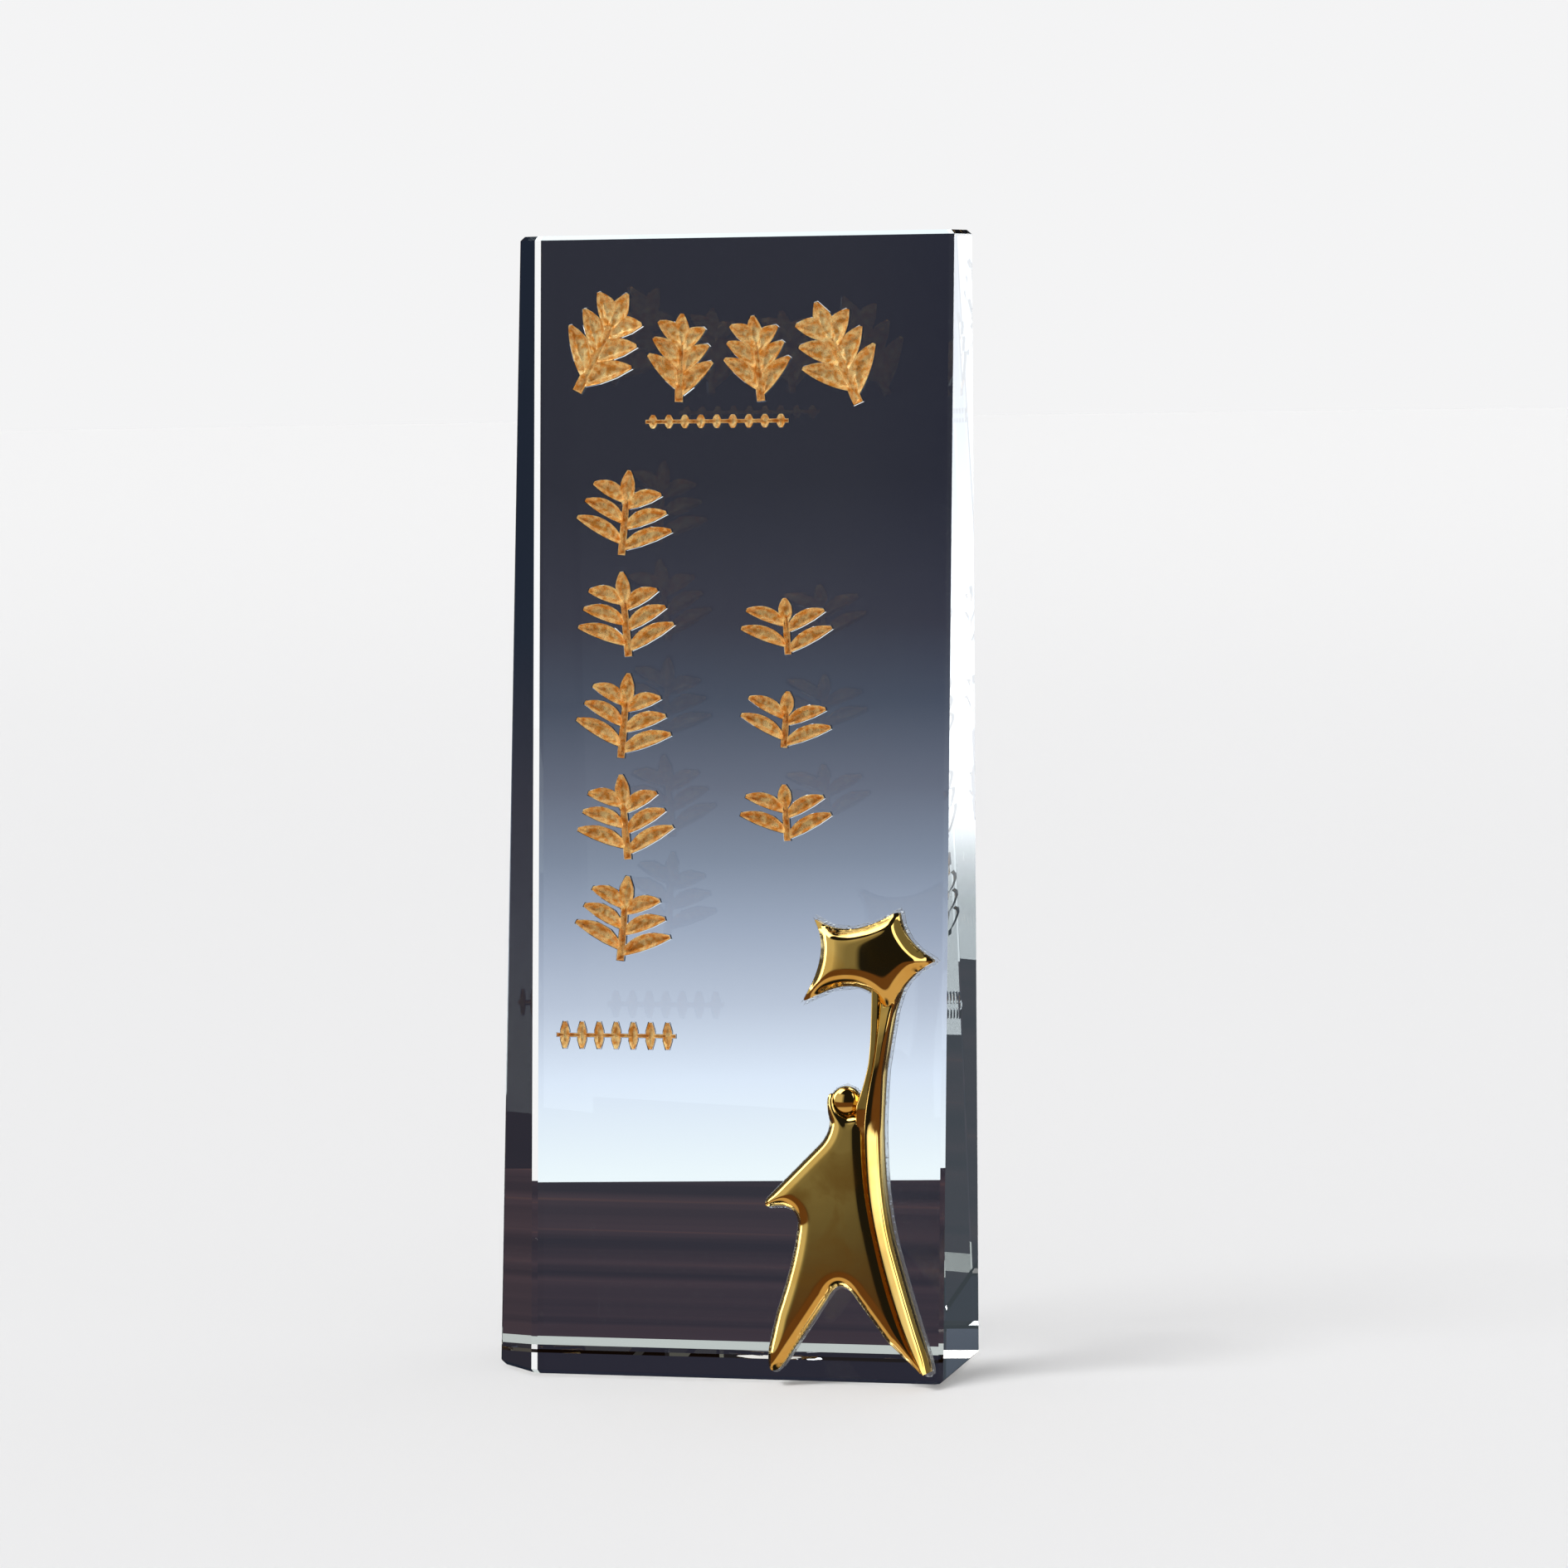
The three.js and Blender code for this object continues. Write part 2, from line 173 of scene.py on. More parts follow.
def spread(tree: Tree, value: Socket, low: float, high: float,
           to_low: float, to_high: float) -> Socket:
    """Maps a value from one range to another, clamped.

    Args:
        tree: The tree that gets the node.
        value: The value's socket.
        low: Start of the range that comes in.
        high: End of the range that comes in.
        to_low: What the start becomes.
        to_high: What the end becomes.

    Returns:
        The mapped value's socket.
    """
    made = node(tree, "MapRange", clamp=True)
    link(tree, value, made.inputs["Value"])
    for name, number in (("From Min", low), ("From Max", high), ("To Min", to_low), ("To Max", to_high)):
        made.inputs[name].default_value = number
    return made.outputs["Result"]


def noise(tree: Tree, **values: float) -> bpy.types.Node:
    """Adds a noise in the piece's own Object coordinates.

    Args:
        tree: The tree that gets the node.
        **values: Values of its inputs, by their names in lower case.

    Returns:
        The noise's node.
    """
    made = node(tree, "TexNoise", noise_dimensions="3D")
    link(tree, node(tree, "TexCoord").outputs["Object"], made.inputs["Vector"])
    for key, value in values.items():
        made.inputs[key.title()].default_value = value
    return made


def surface_wear_group(grain_share: float = 0.12, smear_range: Span = (0.42, 0.68)) -> Tree:
    """The hand-made look of the metal and the lacquer: slow waviness, fine grain and faint smears.

    Args:
        grain_share: How much of the height is grain.
        smear_range: The noise values between which a smear comes in.

    Returns:
        The node group, made once.
    """
    name = "surface_wear"
    if name in bpy.data.node_groups:
        return bpy.data.node_groups[name]
    group = bpy.data.node_groups.new(name, "ShaderNodeTree")
    socket(group, "Wave Size", "Float", 300.0)
    socket(group, "Grain Size", "Float", 3000.0)
    socket(group, "Height", "Float", out=True)
    socket(group, "Smear", "Float", out=True)
    socket(group, "Grain", "Float", out=True)
    inside = node(group, "NodeGroupInput")
    outside = node(group, "NodeGroupOutput")
    waves = noise(group, detail=1.0)
    grain = noise(group, detail=3.0)
    smear = noise(group, scale=140.0, detail=5.0, distortion=0.6)
    link(group, inside.outputs["Wave Size"], waves.inputs["Scale"])
    link(group, inside.outputs["Grain Size"], grain.inputs["Scale"])
    both = node(group, "Math", operation="MULTIPLY_ADD")
    both.inputs[1].default_value = grain_share
    link(group, grain.outputs["Fac"], both.inputs[0])
    link(group, waves.outputs["Fac"], both.inputs[2])
    link(group, both.outputs[0], outside.inputs["Height"])
    smeared = spread(group, smear.outputs["Fac"], *smear_range, 0.0, 1.0)
    link(group, smeared, outside.inputs["Smear"])
    link(group, grain.outputs["Fac"], outside.inputs["Grain"])
    return group


# ---------------------------------------------------------------- finishes


@dataclass(frozen=True)
class Finish:
    """One finish: a material with a Principled shader that its subclass dresses."""

    name: str

    def material(self) -> bpy.types.Material:
        """Makes the material once.

        Returns:
            The material.
        """
        if self.name in bpy.data.materials:
            return bpy.data.materials[self.name]
        made = bpy.data.materials.new(self.name)
        made.use_nodes = True
        tree = made.node_tree
        self.dress(tree, tree.nodes["Principled BSDF"])
        return made

    def dress(self, tree: Tree, shader: bpy.types.Node) -> None:
        """Sets the Principled shader of the material's tree up; each finish has its own way."""
        raise NotImplementedError

    @staticmethod
    def wear(tree: Tree, wave_size: float, grain_size: float) -> bpy.types.Node:
        """Places the shared wear in a material.

        Args:
            tree: The material's tree.
            wave_size: Scale of the slow waviness.
            grain_size: Scale of the fine grain.

        Returns:
            The group's node.
        """
        made = node(tree, "Group", node_tree=surface_wear_group())
        made.inputs["Wave Size"].default_value = wave_size
        made.inputs["Grain Size"].default_value = grain_size
        return made

    @staticmethod
    def bump(tree: Tree, shader: bpy.types.Node, height: Socket,
             distance: float, strength: float) -> None:
        """Feeds a height to the shader's normal.

        Args:
            tree: The material's tree.
            shader: The Principled shader.
            height: The height's socket.
            distance: Bump distance in metres.
            strength: Bump strength.
        """
        made = node(tree, "Bump")
        made.inputs["Distance"].default_value = distance
        made.inputs["Strength"].default_value = strength
        link(tree, height, made.inputs["Height"])
        link(tree, made.outputs["Normal"], shader.inputs["Normal"])


@dataclass(frozen=True)
class GiltMetal(Finish):
    """Mirror-polished gold plating with a slight hand-polished ripple.

    Attributes:
        bright: Its colour where it is clean.
        deep: Its colour in a smear.
        roughness: Roughness where it is clean, and in a smear.
        ripple: Height of the ripple in metres.
        ripple_strength: How much of the ripple shows.
    """

    name: str = "mirror_gilding"
    bright: Colour = (0.96, 0.68, 0.23)
    deep: Colour = (0.90, 0.58, 0.16)
    roughness: Span = (0.04, 0.10)
    ripple: float = 0.00002
    ripple_strength: float = 0.08

    def dress(self, tree: Tree, shader: bpy.types.Node) -> None:
        """Takes colour and roughness from the smears, and the bump from the ripple.

        Args:
            tree: The material's tree.
            shader: Its Principled shader.
        """
        wear = self.wear(tree, 260.0, 5200.0)
        shader.inputs["Metallic"].default_value = 1.0
        smear = wear.outputs["Smear"]
        link(tree, mix(tree, smear, self.bright, self.deep), shader.inputs["Base Color"])
        link(tree, spread(tree, smear, 0.0, 1.0, *self.roughness), shader.inputs["Roughness"])
        self.bump(tree, shader, wear.outputs["Height"], self.ripple, self.ripple_strength)


@dataclass(frozen=True)
class GoldLacquer(Finish):
    """Satin gold lacquer on sandblasted glass, with metal flake in it.

    Attributes:
        light: Colour of the flake.
        dark: Colour between the flakes.
        metallic: How metallic the whole coat is.
        flake_range: The wear heights between which the flake's colour turns dark.
        roughness: Roughness where the grain is lowest and highest.
        blast: Height of the blasted grain in metres.
        blast_strength: How much of the grain shows.
    """

    name: str = "satin_gold_paint"
    light: Colour = (1.0, 0.74, 0.33)
    dark: Colour = (0.74, 0.31, 0.05)
    metallic: float = 0.5
    flake_range: Span = (0.42, 0.72)
    roughness: Span = (0.22, 0.42)
    blast: float = 0.0003
    blast_strength: float = 0.7

    def dress(self, tree: Tree, shader: bpy.types.Node) -> None:
        """Takes the colour from the flake, and roughness and bump from the blasted grain.

        Args:
            tree: The material's tree.
            shader: Its Principled shader.
        """
        wear = self.wear(tree, 900.0, 4200.0)
        shader.inputs["Metallic"].default_value = self.metallic
        flake = spread(tree, wear.outputs["Height"], *self.flake_range, 0.0, 1.0)
        link(tree, mix(tree, flake, self.light, self.dark), shader.inputs["Base Color"])
        satin = spread(tree, wear.outputs["Grain"], 0.3, 0.7, *self.roughness)
        link(tree, satin, shader.inputs["Roughness"])
        self.bump(tree, shader, wear.outputs["Height"], self.blast, self.blast_strength)


@dataclass(frozen=True)
class Crystal(Finish):
    """Optical glass: clear and polished, with faint smears.

    Attributes:
        tint: Colour of the glass.
        ior: Its refractive index.
        smeared: Roughness in the middle of a smear.
    """

    name: str = "polished_optical_glass"
    tint: Colour = (0.985, 0.995, 1.0)
    ior: float = 1.52
    smeared: float = 0.006

    def dress(self, tree: Tree, shader: bpy.types.Node) -> None:
        """Sets constant glass values, with roughness only where a face is smeared.

        Args:
            tree: The material's tree.
            shader: Its Principled shader.
        """
        shader.inputs["Base Color"].default_value = (*self.tint, 1.0)
        shader.inputs["Metallic"].default_value = 0.0
        shader.inputs["Transmission Weight"].default_value = 1.0
        shader.inputs["IOR"].default_value = self.ior
        smears = noise(tree, scale=60.0, detail=4.0)
        polish = spread(tree, smears.outputs["Fac"], 0.5, 0.8, 0.0, self.smeared)
        link(tree, polish, shader.inputs["Roughness"])


@dataclass(frozen=True)
class ClearResin(Finish):
    """The adhesive: clear and glossy, with small bubbles and a soft surface.

    Attributes:
        tint: Colour of the resin.
        clear: How much light it lets through.
        ior: Its refractive index.
        roughness: Its roughness.
        bubble_reach: Radius of a bubble, as a share of its cell.
        bubble: Height of a bubble in metres.
        bubble_strength: How much of a bubble shows.
    """

    name: str = "cured_clear_resin"
    tint: Colour = (0.92, 0.96, 1.0)
    clear: float = 0.85
    ior: float = 1.48
    roughness: float = 0.12
    bubble_reach: float = 0.35
    bubble: float = 0.0001
    bubble_strength: float = 0.5

    def dress(self, tree: Tree, shader: bpy.types.Node) -> None:
        """Sets glass values with a bubbly bump.

        Args:
            tree: The material's tree.
            shader: Its Principled shader.
        """
        shader.inputs["Base Color"].default_value = (*self.tint, 1.0)
        shader.inputs["Metallic"].default_value = 0.0
        shader.inputs["Transmission Weight"].default_value = self.clear
        shader.inputs["IOR"].default_value = self.ior
        shader.inputs["Roughness"].default_value = self.roughness
        place = node(tree, "TexCoord")
        cells = node(tree, "TexVoronoi")
        cells.inputs["Scale"].default_value = 1400.0
        link(tree, place.outputs["Object"], cells.inputs["Vector"])
        bubbles = spread(tree, cells.outputs["Distance"], 0.0, self.bubble_reach, 1.0, 0.0)
        self.bump(tree, shader, bubbles, self.bubble, self.bubble_strength)


# ---------------------------------------------------------------- shapes


def piece(name: str, bm: Shape, place: Matrix, finish: Finish) -> bpy.types.Object:
    """Turns a finished bmesh into a piece of the trophy that rides on its body.

    Args:
        name: The piece's name.
        bm: Its shape, which is freed.
        place: The transform into the row frame.
        finish: Its finish.

    Returns:
        The new object.
    """
    bmesh.ops.transform(bm, matrix=place, verts=bm.verts)
    bmesh.ops.recalc_face_normals(bm, faces=bm.faces)
    mesh = bpy.data.meshes.new(name)
    bm.to_mesh(mesh)
    bm.free()
    made = bpy.data.objects.new(name, mesh)
    bpy.context.scene.collection.objects.link(made)
    mesh.materials.append(finish.material())
    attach(made, "root")
    return made


def shade(mesh: bpy.types.Mesh, angle: float) -> None:
    """Shades a mesh smooth, with sharp edges past an angle in degrees."""
    mesh.shade_smooth()
    mesh.set_sharp_from_angle(angle=math.radians(angle))


def bend(start: Vector, control: Vector, end: Vector, steps: int) -> list[Vector]:
    """Points of a quadratic curve, from just after its start to its end."""
    shares = [i / steps for i in range(1, steps + 1)]
    return [start * (1 - t) ** 2 + control * (2 * t * (1 - t)) + end * t ** 2 for t in shares]


def traced(runs: list[tuple[float, ...]], steps: int = 10) -> list[Vector]:
    """An outline's points, from straight runs (x, y) and curved runs (control x, control y, x, y).

    Args:
        runs: The runs, the first one a point.
        steps: Points on each curved run.

    Returns:
        The outline's points, without the first repeated.
    """
    points = [Vector(runs[0])]
    for run in runs[1:]:
        if len(run) == 2:
            points.append(Vector(run))
        else:
            points += bend(points[-1], Vector(run[:2]), Vector(run[2:]), steps)
    if (points[-1] - points[0]).length < 1e-6:
        points.pop()
    return points


# ---------------------------------------------------------------- engraved marks


@dataclass
class Stroke:
    """One leaf or stem of a mark, in mm on the front face.

    Attributes:
        tail: Where it starts.
        head: Where it ends.
        start: Width at its start.
        belly: Width at its middle.
        end: Width at its end.
        bow: Sideways bend of its middle line.
    """

    tail: Vector
    head: Vector
    start: float
    belly: float
    end: float
    bow: float = 0.0

    def outline(self, inset: float, steps: int) -> list[Vector]:
        """The stroke's outline, drawn in by inset.

        Args:
            inset: How far inside the engraved edge.
            steps: Points along each side.

        Returns:
            The outline, always with the same number of points.
        """
        along = (self.head - self.tail).normalized()
        side = Vector((-along.y, along.x))
        tail = self.tail + along * inset
        head = self.head - along * inset
        middle = (tail + head) / 2
        tail_half = max(self.start / 2 - inset, 0.02)
        head_half = max(self.end / 2 - inset, 0.02)
        belly_half = self.belly - (self.start + self.end) / 4 - inset
        right = middle + side * (2 * self.bow - belly_half)
        left = middle + side * (2 * self.bow + belly_half)
        points = [tail - side * tail_half]
        points += bend(points[-1], right, head - side * head_half, steps)
        points.append(head + side * head_half)
        points += bend(points[-1], left, tail + side * tail_half, steps)
        return points


@dataclass
class Branch:
    """A straight stem with pairs of leaves along it and one leaf at its tip.

    Attributes:
        root: The stem's foot.
        tip: The end of the tip's leaf.
        pairs: How many pairs of leaves.
        length: Length of the lowest leaves.
        width: Leaf width.
        fan: Angle between a leaf and the stem.
        stem_share: Stem width, as a share of the leaf width.
        leaf_point: Width of a leaf's blunt tip.
        leaf_bow: Sideways bend of a leaf, as a share of its width.
        leaf_shrink: How much shorter each next pair is.
        tip_leaf_share: Length of the tip's leaf, as a share of the branch.
        first_pair_share: Where the first pair stands on the branch.
        pair_span_share: Share of the branch that the pairs take.
        pair_stagger: How far a pair's two leaves are apart, as a share of the pitch.
        leaf_root_share: Width of a leaf's root, as a share of the stem.
    """

    root: Vector
    tip: Vector
    pairs: int
    length: float
    width: float
    fan: float
    stem_share: float = 0.5
    leaf_point: float = 0.9
    leaf_bow: float = 0.2
    leaf_shrink: float = 0.14
    tip_leaf_share: float = 0.42
    first_pair_share: float = 0.12
    pair_span_share: float = 0.72
    pair_stagger: float = 0.14
    leaf_root_share: float = 0.8

    def strokes(self) -> list[Stroke]:
        """Draws the branch.

        Returns:
            The stem, the tip's leaf and the pairs of leaves.
        """
        reach = (self.tip - self.root).length
        along = (self.tip - self.root).normalized()
        stem = self.width * self.stem_share
        neck = stem * self.leaf_root_share
        crown = self.root + along * reach * (1 - self.tip_leaf_share)
        made = [
            Stroke(self.root, crown + along * stem, stem, stem, neck),
            Stroke(crown, self.tip, stem, self.width, self.leaf_point),
        ]
        for i in range(self.pairs):
            leaf = self.length * (1 - self.leaf_shrink * i)
            for hand in (-1, 1):
                step = (i + hand * self.pair_stagger) * self.pair_span_share / self.pairs
                foot = self.root + along * reach * (self.first_pair_share + step)
                end = foot + (Matrix.Rotation(hand * self.fan, 2) @ along) * leaf
                bow = -hand * self.width * self.leaf_bow
                made.append(Stroke(foot, end, neck, self.width, self.leaf_point, bow))
        return made


@dataclass
class LozengeRow:
    """A thin rule carrying a row of upright lozenges.

    Attributes:
        middle: The row's middle.
        length: Length of the rule.
        height: Height of a lozenge.
        count: How many lozenges.
        rule: Width of the rule.
        share: Width of a lozenge, as a share of its pitch.
        point: Width of a lozenge's blunt ends.
    """

    middle: Vector
    length: float
    height: float
    count: int
    rule: float = 0.9
    share: float = 0.62
    point: float = 0.9

    def strokes(self) -> list[Stroke]:
        """Draws the row.

        Returns:
            The rule and its lozenges.
        """
        half = Vector((self.length / 2, 0))
        made = [Stroke(self.middle - half, self.middle + half, self.rule, self.rule, self.rule)]
        pitch = self.length / self.count
        rise = Vector((0, self.height / 2))
        for i in range(self.count):
            at = self.middle - half + Vector(((i + 0.5) * pitch, 0))
            made.append(Stroke(at - rise, at + rise, self.point, pitch * self.share, self.point))
        return made


@dataclass
class Engraving:
    """The gold lacquer in the engraved marks.

    Attributes:
        face: The face that carries the marks.
        emblem: Middle of the emblem.
        caption: Middle of the row under the emblem.
        left_column: Middle of the left column's top sprig.
        left_pitch: Distance between the left column's sprigs.
        right_column: Middle of the right column's top sprig.
        right_pitch: Distance between the right column's sprigs.
        date: Middle of the row under the left column.
        sprig_rise: How far a sprig's leaves rise, as a share of its width.
        depth: Engraving depth of the leaves.
        fine_depth: Engraving depth of the two rows.
        coat: Thickness of the lacquer coat.
        edge_gap: How far inside the engraved edge the coat starts.
        lip: How far under the face the coat starts.
        floor_gap: How far over the cavity's floor the coat lies.
        scoop: The trough's rings: how far in, and how deep, as shares of its reach and depth.
        steps: Points along each side of a stroke.
    """

    face: FrontFace
    emblem: Point = (36.1, 198.8)
    caption: Point = (36.1, 184.5)
    left_column: Point = (17.9, 167.0)
    left_pitch: float = 19.6
    right_column: Point = (50.0, 145.0)
    right_pitch: float = 17.9
    date: Point = (16.4, 65.9)
    sprig_rise: float = 0.22
    depth: float = 1.4
    fine_depth: float = 0.8
    coat: float = 0.1
    edge_gap: float = 0.16
    lip: float = 0.06
    floor_gap: float = 0.04
    scoop: tuple[Span, ...] = ((0.3, 0.5), (0.65, 0.86), (0.92, 1.0))
    steps: int = 8

    def sprig(self, middle: Point, width: float, height: float, pairs: int, leaf: float,
              tilt: float) -> Branch:
        """Draws an upright sprig.

        Args:
            middle: Its middle.
            width: The width that it fills.
            height: Its height.
            pairs: How many pairs of leaves.
            leaf: Leaf width.
            tilt: How far it leans to the left, in radians.

        Returns:
            The sprig.
        """
        half = Matrix.Rotation(tilt, 2) @ Vector((0, height / 2))
        rise = width * self.sprig_rise
        return Branch(Vector(middle) - half, Vector(middle) + half, pairs,
                      math.hypot(width / 2, rise), leaf, math.atan2(width / 2, rise))

    def marks(self) -> dict[str, tuple[list[Stroke], float]]:
        """Draws every mark.

        Returns:
            Each mark's strokes and engraving depth, by its CAD node.
        """
        centre = Vector(self.emblem)
        outer = {"pairs": 3, "length": 10.6, "width": 4.2, "fan": 0.78}
        inner = {"pairs": 3, "length": 9.2, "width": 3.5, "fan": 0.78}
        emblem = {
            "emblem_left_outer_infill": ((-28.0, -8.4), (-17.8, 10.6), outer),
            "emblem_left_inner_infill": ((-7.6, -10.6), (-7.0, 6.6), inner),
            "emblem_right_inner_infill": ((8.8, -10.6), (7.0, 6.0), inner),
            "emblem_right_outer_infill": ((28.0, -11.2), (19.4, 8.4), outer),
        }
        made = {
            name: (Branch(centre + Vector(root), centre + Vector(tip), **form).strokes(), self.depth)
            for name, (root, tip, form) in emblem.items()
        }
        caption = LozengeRow(Vector(self.caption), length=28.6, height=2.8, count=9)
        made["caption_row_infill"] = (caption.strokes(), self.fine_depth)
        for i in range(5):
            tilt = 0.09 if i % 2 else -0.09
            at = (self.left_column[0], self.left_column[1] - self.left_pitch * i)
            leafy = self.sprig(at, width=19.2, height=16.6, pairs=3, leaf=3.2, tilt=tilt)
            made[f"left_sprig_{i + 1}_infill"] = (leafy.strokes(), self.depth)
        for i in range(3):
            tilt = -0.07 if i % 2 else 0.07
            at = (self.right_column[0], self.right_column[1] - self.right_pitch * i)
            leafy = self.sprig(at, width=18, height=11, pairs=2, leaf=2.9, tilt=tilt)
            made[f"right_sprig_{i + 1}_infill"] = (leafy.strokes(), self.depth)
        date = LozengeRow(Vector(self.date), length=24, height=5.4, count=7)
        made["date_row_infill"] = (date.strokes(), self.fine_depth)
        return made

    def build(self) -> None:
        """Makes one coat of lacquer for each mark."""
        finish = GoldLacquer()
        place = self.face.matrix()
        for name, (strokes, depth) in self.marks().items():
            LOG.info("%s: %d strokes", name, len(strokes))
            coat = self.coat_from(united([self.trough_solid(stroke, depth) for stroke in strokes]))
            made = piece(name.replace("_infill", "_lacquer"), coat, place, finish)
            shade(made.data, 40)
            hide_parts(name)

    def trough_solid(self, stroke: Stroke, depth: float) -> Shape:
        """Builds a stroke's scooped trough downwards, ring by ring.

        Args:
            stroke: The stroke.
            depth: Depth of its cavity.

        Returns:
            The trough as a closed solid.
        """
        bm = bmesh.new()
        reach = stroke.belly / 2 - self.edge_gap
        rim = [bm.verts.new((p.x, p.y, -self.lip)) for p in stroke.outline(self.edge_gap, self.steps)]
        bm.faces.new(reversed(rim))
        floor_height = -depth + self.coat + self.floor_gap
        for across, share in self.scoop:
            narrow = stroke.outline(self.edge_gap + across * reach, self.steps)
            edges = [bm.edges.get((a, b)) or bm.edges.new((a, b)) for a, b in zip(rim, rim[1:] + rim[:1])]
            grown = bmesh.ops.extrude_edge_only(bm, edges=edges)["geom"]
            fresh = {v.co.copy().freeze(): v for v in grown if isinstance(v, bmesh.types.BMVert)}
            lower = [fresh[v.co.copy().freeze()] for v in rim]
            for vert, point in zip(lower, narrow):
                vert.co = (point.x, point.y, -self.lip + (floor_height + self.lip) * share)
            rim = lower
        bm.faces.new(rim)
        bmesh.ops.recalc_face_normals(bm, faces=bm.faces)
        return bm

    def coat_from(self, mesh: bpy.types.Mesh) -> Shape:
        """Lines a solid's sides and floor, open at the face.

        Args:
            mesh: The joined troughs.

        Returns:
            The coat.
        """
        bm = bmesh.new()
        bm.from_mesh(mesh)
        bmesh.ops.remove_doubles(bm, verts=bm.verts, dist=1e-4)
        flat = [f for f in bm.faces if f.normal.z > 0.99]
        lids = [f for f in flat if f.calc_center_median().z > -self.lip - self.floor_gap / 2]
        bmesh.ops.delete(bm, geom=lids, context="FACES")
        bmesh.ops.solidify(bm, geom=bm.faces[:], thickness=-self.coat)
        return bm


def united(shapes: list[Shape]) -> bpy.types.Mesh:
    """Joins closed solids into one mesh.

    Args:
        shapes: The solids, which are freed.

    Returns:
        The joined mesh.
    """
    solids = []
    for shape in shapes:
        mesh = bpy.data.meshes.new("solid")
        shape.to_mesh(mesh)
        shape.free()
        solids.append(bpy.data.objects.new("solid", mesh))
    scene = bpy.context.scene.collection
    others = bpy.data.collections.new("others")
    scene.children.link(others)
    first, rest = solids[0], solids[1:]
    scene.objects.link(first)
    for solid in rest:
        others.objects.link(solid)
    join = first.modifiers.new("join", "BOOLEAN")
    join.operation = "UNION"
    join.solver = "EXACT"
    join.operand_type = "COLLECTION"
    join.collection = others
    whole = bpy.data.meshes.new_from_object(first.evaluated_get(bpy.context.evaluated_depsgraph_get()))
    for solid in solids:
        bpy.data.objects.remove(solid)
    bpy.data.collections.remove(others)
    return whole


# ---------------------------------------------------------------- cast figure

Height = Callable[[np.ndarray], np.ndarray]
Section = Callable[[np.ndarray, float, float], np.ndarray]


def nearest(places: np.ndarray, line: list[Vector], closed: bool = False) -> np.ndarray:
    """How far each place is from a line.

    Args:
        places: The places, one to a row.
        line: The line's points.
        closed: True where the line's end joins its start.

    Returns:
        One distance for each place.
    """
    a = np.array([tuple(p) for p in line])
    run = np.roll(a, -1, axis=0) - a
    if not closed:
        a, run = a[:-1], run[:-1]
    gap = places[:, None, :] - a[None, :, :]
    share = np.clip((gap * run).sum(2) / np.maximum((run * run).sum(1), 1e-12), 0, 1)
    return np.linalg.norm(gap - share[..., None] * run[None, :, :], axis=2).min(1)


def shoulder(distance: np.ndarray, width: float | np.ndarray) -> np.ndarray:
    """A quarter-round rise from 0 at the outline to 1 at width inside it."""
    return np.sqrt(1 - np.clip(1 - distance / width, 0, 1) ** 2)


def spaced(line: list[Vector], count: int) -> list[Vector]:
    """The points that divide a line into equal lengths.

    Args:
        line: The line's points.
        count: How many points to give.

    Returns:
        The points, the line's two ends among them.
    """
    places = np.array([tuple(p) for p in line])
    run = np.concatenate(([0.0], np.cumsum(np.linalg.norm(np.diff(places, axis=0), axis=1))))
    at = np.linspace(0, run[-1], count)
    return [Vector(spot) for spot in zip(*(np.interp(at, run, places[:, axis]) for axis in (0, 1)))]


def ease(value: np.ndarray, low: float, high: float) -> np.ndarray:
    """A smooth step from 0 at low to 1 at high."""
    share = np.clip((value - low) / (high - low), 0, 1)
    return share * share * (3 - 2 * share)


